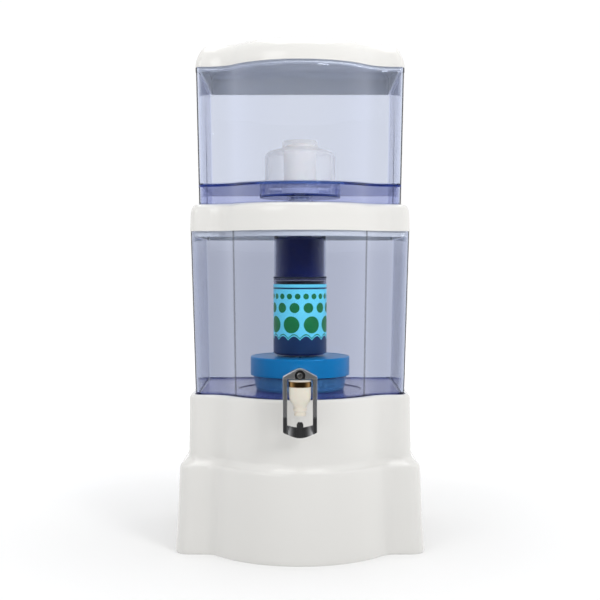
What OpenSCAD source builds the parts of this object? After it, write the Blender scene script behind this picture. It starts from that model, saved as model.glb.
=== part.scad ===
// Gravity water filter: two stacked clear tanks on a white pedestal, a ceramic candle over a
// layered cartridge, a mineral box on the lower floor and a push-back tap. Millimetres, +Z up,
// the front faces -Y. Every moulded shell follows one plan outline, grown or shrunk evenly.

/* [Footprint] */
// Width of the lower tank across its rim
tank_w = 314.8; // [306:0.2:330]
// Depth of the lower tank from the front of its bulge to its back
tank_d = 320; // [314:1:330]
// Radius of the bulge in the middle of the front
bulge_r = 128; // [124:1:132]
// How far the bulge stands out from the flat parts of the front
bulge_rise = 64; // [60:1:68]
// Radius of the hollow blend between the bulge and the flat parts
blend_r = 45; // [40:1:50]
// Corner radius of the tanks and lids
tank_corner_r = 12; // [9:0.5:13]
// Corner radius of the pedestal
base_corner_r = 20; // [14:1:24]

/* [Pedestal] */
// Height of the pedestal to the top of its rim
base_h = 223; // [200:1:240]
// Height of the wide lower block, to its outer edge
step_h = 125; // [100:1:140]
// How far the pedestal's foot stands out beyond the lower tank's rim
foot_out = 20.3; // [16:0.1:24]
// How far the top of the lower block stands out beyond the lower tank's rim
step_out = 14.6; // [12:0.1:16]
// How far the upper block stands out beyond the lower tank's rim
plinth_out = 1.6; // [1:0.1:4]
// Depth of the seat that the lower tank stands in
seat_depth = 15; // [10:1:20]
// Wall of the pedestal
base_wall = 4; // [3:0.5:5]
// Gap round the lower tank in its seat
seat_gap = 0.6; // [0.4:0.1:1.2]

/* [Lower tank] */
// Height of the lower tank, foot to rim
tank_h = 249; // [220:1:260]
// How much each side of the lower tank closes in from its rim to its foot
tank_draft = 7.1; // [5:0.1:8]
// Wall of both tanks
tank_wall = 3.5; // [3:0.1:4]
// Floor of the lower tank
tank_floor = 5; // [4:0.5:6]
// Height of the open skirt under the lower tank's floor
tank_skirt = 9; // [6:1:12]
// Radius of the sunken disc in the floor
disc_r = 93; // [88:1:98]
// Depth of the sunken disc
disc_depth = 1.2; // [0.6:0.1:2]

/* [Middle lid] */
// Height of the middle lid
mid_lid_h = 39; // [34:1:44]
// Depth of the seat for the upper tank in the middle lid
mid_seat_depth = 5; // [3:0.5:7]
// Wall of both lids
lid_wall = 3.5; // [3:0.1:4]
// Depth of the lip that plugs into a tank
lip_depth = 8; // [6:1:12]
// Gap between a lip and the tank wall
lip_gap = 0.4; // [0.3:0.1:0.8]

/* [Upper tank] */
// Height of the upper tank, foot to rim
upper_h = 202; // [180:1:220]
// How much narrower each side of the upper tank's rim is than the lower tank's
upper_in = 6.9; // [6:0.1:9]
// How much each side of the upper tank closes in from its rim to its foot
upper_draft = 4.5; // [3:0.1:5.5]
// Floor of the upper tank
upper_floor = 3.5; // [3:0.5:5]
// Height of the open skirt under the upper tank's floor
upper_skirt = 30.5; // [24:0.5:34]
// Outside radius of the well that the ceramic candle stands in
well_r = 61.5; // [59:0.5:64]
// How far the well hangs below the floor
well_drop = 12; // [9:0.5:13]
// Height of the upper lid
upper_lid_h = 37; // [34:1:42]
// Depth of the upper lid's lip inside the tank
upper_lip = 4.5; // [4:0.5:8]

/* [Candle and cover] */
// Radius of the ceramic candle
candle_r = 24.5; // [20:0.5:24.5]
// Height of the ceramic candle
candle_h = 72; // [60:1:74]
// Outside radius of the candle's cover
cover_r = 53.5; // [50:0.5:55]
// Height of the cover's shoulder above the well
cover_shoulder_h = 68; // [60:1:74]
// Height of the cover's crown above the well
cover_h = 83.5; // [81.5:0.5:92]
// Outside radius of the cover's crown
crown_r = 27.2; // [27:0.1:32]
// Radius of the candle's threaded stem
stem_r = 8; // [7:0.5:10]

/* [Cartridge] */
// Radius of the cartridge's body
cart_r = 40; // [37:0.5:42]
// Gap between the mineral box and the cartridge's body
cart_gap = 4.4; // [4:0.1:12]
// Radius of the cartridge's cap
cap_r = 39.3; // [38.5:0.1:41]
// Height of the cartridge's cap
cap_h = 108.5; // [100:0.5:109]
// Height of the cap's wide part, under its neck
cap_cup_h = 66; // [55:0.5:85]
// Wall of the cartridge's body and cap
cart_wall = 2.5; // [2:0.1:3]
// Height of the clear band above the label on the cartridge
label_gap = 9; // [6:1:30]

/* [Mineral box] */
// Radius of the mineral box's cap
box_cap_r = 75; // [72:1:80]
// Height of the mineral box's cap
box_cap_h = 28; // [20:1:32]
// Height of the whole mineral box
box_h = 50.8; // [45:0.1:50.8]
// Radius of the bowl at its foot
box_foot_r = 66.4; // [62:0.1:68]
// Radius of one mineral stone
stone_r = 8; // [6:0.5:8]

/* [Tap] */
// Height of the tap's shank above the lower tank's floor
tap_up = 17; // [16:0.5:20]
// Distance from the tank's tap pad to the middle of the spout
tap_reach = 47.5; // [46:0.5:52]
// Radius of the tap's barrel
barrel_r = 15; // [13.5:0.1:15.2]
// Radius of the tap's threaded shank
shank_r = 8; // [7:0.5:9]
// Radius of the water way through the tap
way_r = 5; // [4:0.5:5.5]
// Width of the tap's lever
lever_w = 45.8; // [43:0.1:48]
// Width of each arm of the lever
arm_w = 6; // [4:0.1:6.5]
// Angle that the lever swings back, in degrees
lever_swing = 11; // [6:1:11]

/* [Hidden] */
$fn = 96;

// A hair of extra length on cutters, so no two faces coincide.
eps = 0.5;

// ---- The plan outline that every moulded shell follows ----
tank_hw = tank_w / 2;
arc_y = bulge_r - tank_d / 2;
flat_y = bulge_rise - tank_d / 2;
blend_y = flat_y - blend_r;
blend_x = sqrt(pow(bulge_r + blend_r, 2) - pow(arc_y - blend_y, 2));
arc_angle = asin(blend_x / (bulge_r + blend_r));
arc_steps = 12;
blend_steps = 5;
corner_steps = 5;

// Front apex round the right side to the back: grown by `out`, with corner radius rc.
function right_half(out, rc) =
    let (hw = tank_hw + out, yf = flat_y - out, yb = tank_d / 2 + out,
         r = bulge_r + out, f = blend_r - out)
    concat(
        [for (i = [0:arc_steps]) let (t = arc_angle * i / arc_steps)
            [r * sin(t), arc_y - r * cos(t)]],
        [for (i = [1:blend_steps]) let (t = arc_angle * (1 - i / blend_steps))
            [blend_x - f * sin(t), blend_y + f * cos(t)]],
        [for (i = [0:corner_steps]) let (t = 90 * i / corner_steps)
            [hw - rc + rc * sin(t), yf + rc - rc * cos(t)]],
        [for (i = [0:corner_steps]) let (t = 90 * i / corner_steps)
            [hw - rc + rc * cos(t), yb - rc + rc * sin(t)]]);

// The whole outline from the middle of the back, anticlockwise seen from above.
function outline(out, rc) =
    let (right = right_half(out, rc), n = len(right))
    concat([[0, tank_d / 2 + out]],
           [for (i = [n - 1:-1:1]) [-right[i][0], right[i][1]]],
           right);

outline_points = len(outline(0, tank_corner_r));

// Skins a solid over levels of [height, growth, corner radius, scale]. The first and last levels
// are closed, so a path that runs up the outside and down the inside makes an open shell.
module loft(levels) {
    n = outline_points;
    points = [for (l = levels) let (s = len(l) > 3 ? l[3] : 1)
              for (p = outline(l[1], l[2])) [p[0] * s, p[1] * s, l[0]]];
    last = (len(levels) - 1) * n;
    sides = [for (k = [0:len(levels) - 2], j = [0:n - 1])
             let (a = k * n + j, b = k * n + (j + 1) % n) [a, a + n, b + n, b]];
    polyhedron(points = points,
               faces = concat([[for (j = [0:n - 1]) j]], sides,
                              [concat([last], [for (j = [n - 1:-1:1]) last + j])]),
               convexity = 8);
}

// ---- Heights ----
deck_z = base_h - seat_depth;
tank_floor_z = deck_z + tank_skirt + tank_floor;
disc_z = tank_floor_z - disc_depth;
tank_rim_z = deck_z + tank_h;
mid_top_z = tank_rim_z + mid_lid_h;
upper_foot_z = mid_top_z - mid_seat_depth;
upper_floor_z = upper_foot_z + upper_skirt + upper_floor;
well_z = upper_floor_z - well_drop;
well_under_z = well_z - upper_floor;
upper_rim_z = upper_foot_z + upper_h;
lid_top_z = upper_rim_z + upper_lid_h;

// Growth of each tank's outer wall at height z, against the outline at the lower tank's rim.
function tank_out(z) = -tank_draft * (tank_rim_z - z) / tank_h;
function upper_out(z) = -upper_in - upper_draft * (upper_rim_z - z) / upper_h;

// ---- Tap places ----
tap_z = tank_floor_z + tap_up;
pad_r = 15.5;
pad_out = 1.9;
tap_wall_y = -(tank_d / 2 + tank_out(tap_z));
pad_y = tap_wall_y - pad_out;
pad_in_y = tap_wall_y + tank_wall + pad_out;
tap_y = pad_y - tap_reach;
washer_t = 2;
flange_r = 13.5;
flange_t = 3;
shank_gap = 0.3;

barrel_up = 7.5;
barrel_top = tap_z + barrel_up;
ring_h = 7.5;
ring_lip = 0.4;
ring_r = barrel_r + ring_lip;
bonnet_t = 2.2;
bonnet_z = barrel_top + ring_h;
bonnet_top = bonnet_z + bonnet_t;
barrel_wall = 2.4;
chamber_r = barrel_r - barrel_wall;
seat_drop = 11;
seat_z = tap_z - seat_drop;
spout_drop = 31;
spout_z = tap_z - spout_drop;

// The lever turns on a pin in front of the stem, so swinging it back lifts the stem.
pin_ahead = 4.5;
pin_y = tap_y - pin_ahead;
pin_up = 5.8;
pin_z = bonnet_top + pin_up;
pin_r = 1.5;
pin_gap = 0.05;
ear_t = 2.5;
block_hw = 5;
ear_gap = 0.2;
ear_in = block_hw + ear_gap;
ear_out = ear_in + ear_t;

// ---- Frame: the part stands with the middle of its box over the origin ----
front_y = tap_y - ring_r;
back_y = tank_d / 2 + foot_out;
frame_y = -(front_y + back_y) / 2;
module placed() { translate([0, frame_y, 0]) children(); }

module ring(r_out, r_in, h) {
    difference() {
        cylinder(r = r_out, h = h);
        translate([0, 0, -eps]) cylinder(r = r_in, h = h + 2 * eps);
    }
}

// ---- Pedestal ----
module base_shell() {
    edge = 5;
    shoulder = 10;
    wall = base_wall;
    rc = base_corner_r;
    rim_in = tank_out(base_h) + seat_gap;
    rim_rc = tank_corner_r;
    color("whitesmoke") placed() loft([
        [deck_z - wall, plinth_out - wall, rc - wall - 4],
        [step_h + shoulder, plinth_out - wall, rc - wall - 4],
        [step_h - wall, step_out - wall - edge, rc - wall],
        [edge, foot_out - wall - 1, rc - wall],
        [0, foot_out - wall - 1, rc - wall],
        [0, foot_out - 1.4, rc - 1],
        [1.5, foot_out - 0.3, rc],
        [edge, foot_out, rc],
        [edge + 20, foot_out - 1.6, rc],
        [edge + 35, foot_out - 2.6, rc],
        [step_h - 6, step_out, rc],
        [step_h - 2.5, step_out - 0.7, rc],
        [step_h, step_out - 2.6, rc - 1],
        [step_h + 1.8, step_out - 5.6, rc - 2],
        [step_h + shoulder - 3.5, plinth_out + 3, rc - 3],
        [step_h + shoulder - 1, plinth_out + 1.2, rc - 4],
        [step_h + shoulder + 2.5, plinth_out + 0.6, rc - 4],
        [base_h - 6, plinth_out, rc - 4],
        [base_h - 2.2, plinth_out - 0.8, rc - 5],
        [base_h - 0.5, plinth_out - 2.4, rc - 6],
        [base_h, plinth_out - 4, rc - 7],
        [base_h, rim_in + 0.8, rim_rc],
        [base_h - 1, rim_in, rim_rc],
        [deck_z, rim_in, rim_rc]]);
}

// ---- Lower tank ----
module lower_tank() {
    w = tank_wall;
    rc = tank_corner_r;
    boss_x = 103;
    color("#c3c8e6", 0.5) placed() difference() {
        union() {
            loft([
                [deck_z + tank_skirt, tank_out(deck_z + tank_skirt) - w, rc - w],
                [deck_z, tank_out(deck_z) - w, rc - w],
                [deck_z, tank_out(deck_z) - 0.6, rc - 0.6],
                [deck_z + 1, tank_out(deck_z + 1), rc],
                [tank_rim_z, 0, rc],
                [tank_rim_z, -w, rc - w],
                [tank_floor_z + 3, tank_out(tank_floor_z) - w, rc - w],
                [tank_floor_z, tank_out(tank_floor_z) - w - 2, rc - w]]);
            translate([0, pad_in_y, tap_z]) rotate([90, 0, 0])
                cylinder(r = pad_r, h = pad_in_y - pad_y);
            for (x = [-boss_x, boss_x]) translate([x, 0, deck_z])
                cylinder(r = 5, h = tank_skirt + tank_floor / 2);
        }
        translate([0, 0, disc_z]) cylinder(r = disc_r, h = disc_depth + eps);
        translate([0, pad_in_y + eps, tap_z]) rotate([90, 0, 0])
            cylinder(r = shank_r + shank_gap, h = pad_in_y - pad_y + 2 * eps);
    }
}

// ---- Mineral box ----
box_wall = 2.2;
box_floor = 3;
box_rim_z = disc_z + box_h - box_floor;
box_open_z = disc_z + box_h - box_cap_h;
bowl_rim_r = box_cap_r - box_wall - 0.8;

// Cutters for a ring of water slots through a plate of thickness t.
slot_count = 12;
slot_w = 3;
module slots(r_in, r_out, t) {
    for (i = [0:slot_count - 1]) rotate([0, 0, 360 * i / slot_count])
        translate([r_in, -slot_w / 2, -eps]) cube([r_out - r_in, slot_w, t + 2 * eps]);
}

module mineral_box_bowl() {
    lip = 3;
    color("#5f8fb8", 0.7) placed() translate([0, 0, disc_z]) difference() {
        rotate_extrude() polygon([
            [0, 0], [box_foot_r - 2, 0], [box_foot_r, 2],
            [bowl_rim_r - 1, box_open_z - disc_z], [bowl_rim_r, box_h - box_floor],
            [bowl_rim_r - box_wall, box_h - box_floor],
            [bowl_rim_r - 1 - box_wall, box_open_z - disc_z],
            [box_foot_r - box_wall, box_floor + lip], [box_foot_r - box_wall - lip, box_floor],
            [0, box_floor]]);
        slots(0.21 * box_foot_r, 0.69 * box_foot_r, box_floor);
    }
}

module mineral_stones() {
    pitch = 2 * stone_r + 0.7;
    rings = floor((box_foot_r - box_wall - 3 - stone_r) / pitch);
    color("#b9a78f") placed() translate([0, 0, disc_z + box_floor + stone_r])
        for (i = [-rings:rings], j = [-rings:rings]) if (abs(i + j) <= rings)
            translate([pitch * (i + j / 2), pitch * j * sqrt(3) / 2, 0]) sphere(r = stone_r);
}

module mineral_box_cap() {
    color("#0f70a8", 0.85) placed() difference() {
        translate([0, 0, box_open_z]) rotate_extrude() polygon([
            [0, box_cap_h - box_floor], [bowl_rim_r + 0.8, box_cap_h - box_floor],
            [bowl_rim_r + 0.8, 0], [box_cap_r - 0.5, 0], [box_cap_r, 1],
            [box_cap_r, box_cap_h - 1.5], [box_cap_r - 1.5, box_cap_h], [0, box_cap_h]]);
        translate([0, 0, box_rim_z]) slots(0.13 * box_cap_r, 0.45 * box_cap_r, box_floor);
    }
}

// ---- Tap ----
// The spout's outside: shares of the barrel's radius and of the spout's drop below the shank.
spout_profile = [[0.495, 0], [0.54, 0.045], [0.54, 0.115], [0.505, 0.14], [0.575, 0.2],
                 [0.625, 0.23], [0.625, 0.31], [0.58, 0.355], [0.62, 0.42], [0.76, 0.535],
                 [0.905, 0.645], [0.98, 0.775], [1, 0.935]];

module tap_body() {
    cup = barrel_top - seat_z;
    arm_gap = 0.3;
    arm_r = barrel_up - arm_gap;
    flange_at = tap_reach - washer_t - flange_t;
    color("ivory") placed() translate([0, tap_y, 0]) difference() {
        union() {
            rotate_extrude() polygon(concat(
                [[0, spout_z]],
                [for (p = spout_profile) [p[0] * barrel_r, spout_z + p[1] * spout_drop]],
                [[barrel_r, barrel_top], [0, barrel_top]]));
            translate([0, 0, tap_z]) rotate([-90, 0, 0]) {
                cylinder(r = arm_r, h = flange_at);
                translate([0, 0, ring_r])
                    cylinder(r1 = arm_r, r2 = arm_r + flange_t, h = flange_at - ring_r);
                translate([0, 0, flange_at]) cylinder(r = flange_r, h = flange_t);
                translate([0, 0, flange_at]) cylinder(r = shank_r, h = shank_end - flange_at);
            }
        }
        translate([0, 0, seat_z]) cylinder(r = chamber_r, h = cup + eps);
        translate([0, 0, spout_z - eps]) cylinder(r = way_r, h = seat_z - spout_z + 2 * eps);
        translate([0, 0, tap_z]) rotate([-90, 0, 0]) cylinder(r = way_r, h = shank_end + eps);
    }
}

nut_t = 7;
nut_r = 14;
shank_past = 4;
shank_end = pad_in_y + washer_t + nut_t + shank_past - tap_y;

// A piece that turns about the shank, from y outwards into the tank.
module on_shank(y) {
    placed() translate([0, y, tap_z]) rotate([-90, 0, 0]) children();
}

module shank_washer_outer() {
    color("dimgray") on_shank(pad_y - washer_t) ring(flange_r - 0.5, shank_r, washer_t);
}

module shank_washer_inner() {
    color("dimgray") on_shank(pad_in_y) ring(flange_r - 0.5, shank_r, washer_t);
}

module shank_nut() {
    color("ivory") on_shank(pad_in_y + washer_t) difference() {
        cylinder(r = nut_r, h = nut_t, $fn = 6);
        translate([0, 0, -eps]) cylinder(r = shank_r, h = nut_t + 2 * eps);
    }
}

module bonnet_ring() {
    color("#8a6a3c") placed() translate([0, tap_y, barrel_top])
        ring(ring_r, chamber_r, ring_h);
}

plug_depth = 3;
stem_way_r = 2.5;
stem_rod_r = stem_way_r - 0.1;

module bonnet_cap() {
    ear_hd = 2.4;
    color("white") placed() difference() {
        union() {
            translate([0, tap_y, 0]) rotate_extrude() polygon([
                [0, barrel_top - plug_depth], [chamber_r, barrel_top - plug_depth],
                [chamber_r, bonnet_z], [ring_r, bonnet_z], [ring_r, bonnet_top - 0.6],
                [ring_r - 0.6, bonnet_top], [0, bonnet_top]]);
            for (s = [-1, 1]) translate([s * (ear_in + ear_out) / 2, pin_y, 0]) {
                translate([-ear_t / 2, -ear_hd, bonnet_top - eps])
                    cube([ear_t, 2 * ear_hd, pin_z - bonnet_top + eps]);
                translate([-ear_t / 2, 0, pin_z]) rotate([0, 90, 0])
                    cylinder(r = ear_hd, h = ear_t);
            }
        }
        translate([0, tap_y, barrel_top - plug_depth - eps])
            cylinder(r = stem_way_r, h = ring_h + bonnet_t + plug_depth + 2 * eps);
        translate([-ear_out - eps, pin_y, pin_z]) rotate([0, 90, 0])
            cylinder(r = pin_r, h = 2 * (ear_out + eps));
    }
}

module lever_pin() {
    color("silver") placed() translate([-ear_out, pin_y, pin_z]) rotate([0, 90, 0])
        cylinder(r = pin_r, h = 2 * ear_out);
}

// ---- Valve ----
seal_t = 2.5;
seal_r = 8;
disc_t = 1.5;
fork_t = 1.8;
fork_drop = 3.6;
fork_z = pin_z - fork_drop;
fork_play = 1;
neck_rod_r = 1.4;
head_r = 2.8;
head_t = 2.2;

module valve_stem() {
    z0 = seat_z + seal_t;
    shoulder = fork_z - fork_play;
    head_z = fork_z + fork_t + fork_play;
    color("silver") placed() translate([0, tap_y, 0]) {
        rotate_extrude() polygon([
            [0, z0 - seal_t], [2, z0 - seal_t], [2, z0], [seal_r - 0.5, z0],
            [seal_r - 0.5, z0 + disc_t], [stem_rod_r, z0 + disc_t], [stem_rod_r, shoulder],
            [neck_rod_r, shoulder], [neck_rod_r, head_z], [head_r, head_z],
            [head_r, head_z + head_t - 0.5], [head_r - 0.5, head_z + head_t],
            [0, head_z + head_t]]);
    }
}

module valve_seal() {
    color("dimgray") placed() translate([0, tap_y, seat_z]) ring(seal_r, 2, seal_t);
}

spring_r = 5.2;
wire_r = 0.6;
spring_turns = 5;

module valve_spring() {
    z0 = seat_z + seal_t + disc_t + wire_r;
    z1 = barrel_top - plug_depth - wire_r;
    sides = 8;
    steps = 18 * spring_turns;
    function turn(k) = 360 * spring_turns * k / steps;
    // The two end turns lie nearly flat, and the rest climb evenly.
    function climb(k) = z0 + (z1 - z0) * (1 - cos(180 * k / steps)) / 2;
    points = [for (k = [0:steps], j = [0:sides - 1])
              let (a = turn(k), b = 360 * j / sides, r = spring_r + wire_r * cos(b))
              [r * cos(a), r * sin(a), climb(k) + wire_r * sin(b)]];
    faces = concat(
        [[for (j = [0:sides - 1]) j]],
        [for (k = [0:steps - 1], j = [0:sides - 1])
         let (a = k * sides + j, b = k * sides + (j + 1) % sides) [a, a + sides, b + sides, b]],
        [[for (j = [sides - 1:-1:0]) steps * sides + j]]);
    color("silver") placed() translate([0, tap_y, 0])
        polyhedron(points = points, faces = faces, convexity = 10);
}

// ---- Lever ----
plate_ahead = 10.2;
plate_y = tap_y - plate_ahead;
plate_t = 2;
recess_depth = 1.2;
washer_disc_t = 0.6;
yoke_behind = 4;
arm_ahead = 5;
yoke_back = tap_y + yoke_behind;
arm_front = tap_y - arm_ahead;
lever_hw = lever_w / 2;
shoulder_drop = 1.5;
shoulder_z = pin_z - shoulder_drop;
boss_r = 9.6;
recess_r = 7;
yoke_gap = 1.4;
yoke_under = bonnet_top + yoke_gap;
lever_drop = 53;
arm_end_z = tap_z - lever_drop;
cavity_gap = 0.8;
cavity_hw = ear_out + cavity_gap;
paddle_sag = 15;
paddle_t = 2.5;
paddle_rise = 11.5;
paddle_top_z = arm_end_z + paddle_rise;
paddle_low_z = arm_end_z - paddle_sag;
paddle_dip = 7;
paddle_set = 2;

// Front view of the lever's yoke and arms: a gable over a round boss, with an open middle.
module yoke_profile() {
    difference() {
        union() {
            hull() {
                translate([0, pin_z]) circle(r = boss_r, $fn = 48);
                translate([-lever_hw, yoke_under])
                    square([lever_w, shoulder_z - yoke_under]);
            }
            translate([-lever_hw, arm_end_z]) square([lever_w, shoulder_z - arm_end_z]);
        }
        translate([arm_w - lever_hw, arm_end_z - eps])
            square([lever_w - 2 * arm_w, yoke_under - arm_end_z + eps]);
    }
}

// Front view of the paddle: both edges drop towards the middle like a tongue.
module tongue_profile() {
    steps = 12;
    function dip(i) = paddle_dip * cos(90 * (2 * i / steps - 1));
    function across(i) = lever_hw * (2 * i / steps - 1);
    polygon(concat(
        [for (i = [0:steps]) [across(i), paddle_top_z - dip(i)]],
        [for (i = [steps:-1:0]) [across(i), arm_end_z - 1.4 * dip(i)]]));
}

// The bowed wall of the paddle, an upright arc from arm to arm behind the spout.
module paddle_wall(t) {
    r = (lever_hw * lever_hw + paddle_sag * paddle_sag) / (2 * paddle_sag);
    translate([0, arm_front + paddle_set + paddle_sag - r, paddle_low_z - eps]) difference() {
        cylinder(r = r, h = paddle_top_z - paddle_low_z + 2 * eps);
        translate([0, 0, -eps]) cylinder(r = r - t, h = paddle_top_z - paddle_low_z + 4 * eps);
        translate([-2 * r, -2 * r + r - paddle_sag, -eps])
            cube([4 * r, 2 * r, paddle_top_z - paddle_low_z + 4 * eps]);
    }
}

module tap_lever() {
    rib_hw = 4.5;
    rib_t = 1.2;
    rib_top = paddle_top_z + rib_t;
    rib_low = arm_end_z - 2 * rib_hw;
    cavity_top = boss_r - plate_t - 1.6;
    color("silver") placed() difference() {
        union() {
            difference() {
                translate([0, yoke_back, 0]) rotate([90, 0, 0])
                    linear_extrude(height = yoke_back - plate_y) yoke_profile();
                translate([-lever_hw - eps, plate_y - eps, arm_end_z - eps])
                    cube([lever_w + 2 * eps, arm_front - plate_y + eps,
                          yoke_under - arm_end_z + eps]);
            }
            intersection() {
                paddle_wall(paddle_t);
                translate([0, yoke_back + paddle_sag, 0]) rotate([90, 0, 0])
                    linear_extrude(height = 3 * paddle_sag) tongue_profile();
            }
            intersection() {
                paddle_wall(paddle_t + rib_t);
                translate([0, yoke_back + paddle_sag, 0]) rotate([90, 0, 0])
                    linear_extrude(height = 3 * paddle_sag) polygon([
                        [-rib_hw, rib_low], [rib_hw, rib_low], [rib_hw, rib_top - 0.8 * rib_hw],
                        [rib_hw / 2, rib_top], [-rib_hw / 2, rib_top],
                        [-rib_hw, rib_top - 0.8 * rib_hw]]);
            }
        }
        translate([-cavity_hw, plate_y + plate_t, yoke_under - eps])
            cube([2 * cavity_hw, yoke_back - plate_y, pin_z + cavity_top - yoke_under]);
        translate([0, plate_y - eps, pin_z]) rotate([-90, 0, 0]) {
            cylinder(r = recess_r, h = recess_depth + eps);
            cylinder(r = screw_r, h = plate_t + 2 * eps);
        }
    }
}

module lever_block() {
    back = yoke_back;
    face_y = plate_y + plate_t;
    height = 2 * fork_drop;
    play = 0.6;
    slot_hw = neck_rod_r + play;
    head_room = head_r + play;
    color("#202020") placed() difference() {
        translate([-block_hw, face_y, fork_z]) cube([2 * block_hw, back - face_y, height]);
        translate([-block_hw - eps, pin_y, pin_z]) rotate([0, 90, 0])
            cylinder(r = pin_r + pin_gap, h = 2 * (block_hw + eps));
        translate([0, tap_y, fork_z - eps])
            cylinder(r = slot_hw, h = height + 2 * eps);
        translate([-slot_hw, tap_y, fork_z - eps])
            cube([2 * slot_hw, back - tap_y + eps, height + 2 * eps]);
        translate([-block_hw - eps, tap_y - head_room, fork_z + fork_t])
            cube([2 * (block_hw + eps), back - tap_y + head_room + eps, height]);
        translate([0, plate_y, pin_z]) rotate([-90, 0, 0])
            cylinder(r = screw_r, h = screw_tip_y - plate_y);
    }
}

screw_r = 1.3;
screw_head_r = 3.8;
screw_gap = 0.4;
washer_gap = 0.1;

washer_front_y = plate_y + recess_depth - washer_disc_t;
screw_tip_y = pin_y - pin_r - screw_gap;

// The washer fills the recess, and is cut off level with the underside of the yoke.
module lever_washer() {
    color("#202020") placed() difference() {
        translate([0, washer_front_y, pin_z]) rotate([-90, 0, 0])
            ring(recess_r - washer_gap, screw_r, washer_disc_t);
        translate([-recess_r, plate_y, pin_z - 2 * recess_r])
            cube([2 * recess_r, plate_t, yoke_under - pin_z + 2 * recess_r]);
    }
}

module lever_screw() {
    shank = screw_tip_y - washer_front_y;
    head_t = 0.9;
    color("silver") placed() translate([0, washer_front_y, pin_z]) rotate([90, 0, 0])
        difference() {
            union() {
                translate([0, 0, -shank]) cylinder(r = screw_r, h = shank + eps);
                cylinder(r = screw_head_r, h = head_t);
                translate([0, 0, head_t])
                    cylinder(r1 = screw_head_r, r2 = screw_head_r - 1, h = head_t / 2);
            }
            for (a = [0, 90]) rotate([0, 0, a + 20]) translate([-2.4, -0.45, head_t / 2])
                cube([4.8, 0.9, 2 * head_t]);
        }
}

// ---- Middle lid ----
module mid_lid() {
    rc = tank_corner_r;
    w = lid_wall;
    lip_out = -tank_wall - lip_gap;
    top_out = upper_out(mid_top_z);
    deck_under = upper_foot_z - w;
    hole_r = cart_r + 2;
    color("whitesmoke") placed() difference() {
        loft([
            [deck_under, lip_out - w, rc - tank_wall - w],
            [tank_rim_z - lip_depth, lip_out - w, rc - tank_wall - w],
            [tank_rim_z - lip_depth, lip_out, rc - tank_wall],
            [tank_rim_z, lip_out, rc - tank_wall],
            [tank_rim_z, 0.5, rc],
            [tank_rim_z + 1, 0.8, rc],
            [tank_rim_z + 26, 0, rc],
            [tank_rim_z + 32, -1, rc],
            [mid_top_z - 3, -3, rc],
            [mid_top_z - 0.8, -5.6, rc - 1],
            [mid_top_z, -8, rc - 1.5],
            [mid_top_z, top_out + 1, rc - 3],
            [upper_foot_z, top_out + 1, rc - 3]]);
        translate([0, 0, deck_under - eps]) cylinder(r = hole_r, h = w + 2 * eps);
    }
}

// ---- Upper tank ----
module upper_tank() {
    w = tank_wall;
    rc = tank_corner_r - 2;
    floor_under = upper_floor_z - upper_floor;
    bead = 0.5;
    color("#c3c8e6", 0.5) placed() difference() {
        union() {
            loft([
                [floor_under, upper_out(floor_under) - w, rc - w],
                [upper_foot_z, upper_out(upper_foot_z) - w, rc - w],
                [upper_foot_z, upper_out(upper_foot_z) + bead, rc],
                [upper_foot_z + 5, upper_out(upper_foot_z + 5) + bead, rc],
                [upper_foot_z + 6, upper_out(upper_foot_z + 6), rc],
                [upper_rim_z - 7, upper_out(upper_rim_z - 7), rc],
                [upper_rim_z - 6, upper_out(upper_rim_z - 6) + bead, rc],
                [upper_rim_z, upper_out(upper_rim_z) + bead, rc],
                [upper_rim_z, upper_out(upper_rim_z) - w, rc - w],
                [upper_floor_z, upper_out(upper_floor_z) - w, rc - w]]);
            translate([0, 0, well_under_z]) cylinder(r = well_r, h = well_drop + upper_floor / 2);
        }
        translate([0, 0, well_z]) cylinder(r = well_r - tank_wall, h = well_drop + eps);
        translate([0, 0, well_under_z - eps])
            cylinder(r = stem_r + 0.4, h = upper_floor + 2 * eps);
    }
}

// ---- Candle, its cover and its stem ----
stem_seal_t = 2;
stem_seal_r = 14;
plate_z = well_z + stem_seal_t;
plate_h = 5;
nut_h = 8;
socket_z = well_under_z - stem_seal_t - nut_h;
stem_low_z = socket_z - 12;
stem_bore_r = 4;
stem_fit = 0.05;

module candle_element() {
    wall = 8;
    dome = 12;
    top = candle_h - dome;
    color("white") placed() translate([0, 0, plate_z + plate_h]) rotate_extrude() {
        difference() {
            union() {
                square([candle_r, top]);
                square([candle_r - dome, candle_h]);
                translate([candle_r - dome, top]) circle(r = dome);
            }
            translate([-2 * candle_r, -candle_r]) square([2 * candle_r, 4 * candle_h]);
            translate([-eps, -eps]) square([candle_r - wall + eps, candle_h - wall + eps]);
        }
    }
}

module candle_base() {
    dish_r = candle_r + 3;
    color("#eceae4") placed() difference() {
        union() {
            translate([0, 0, plate_z]) cylinder(r = dish_r, h = plate_h);
            translate([0, 0, plate_z + plate_h]) ring(dish_r, candle_r + 0.2, 4);
            translate([0, 0, stem_low_z]) cylinder(r = stem_r, h = plate_z - stem_low_z + eps);
        }
        translate([0, 0, stem_low_z - eps])
            cylinder(r = stem_bore_r, h = plate_z + plate_h - stem_low_z + 2 * eps);
    }
}

module stem_seal_upper() {
    color("dimgray") placed() translate([0, 0, well_z]) ring(stem_seal_r, stem_r, stem_seal_t);
}

module stem_seal_lower() {
    color("dimgray") placed() translate([0, 0, well_under_z - stem_seal_t])
        ring(stem_seal_r, stem_r, stem_seal_t);
}

module stem_nut() {
    color("#eceae4") placed() translate([0, 0, socket_z]) difference() {
        cylinder(r = stem_seal_r + 3, h = nut_h, $fn = 6);
        translate([0, 0, -eps]) cylinder(r = stem_r, h = nut_h + 2 * eps);
    }
}

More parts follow.
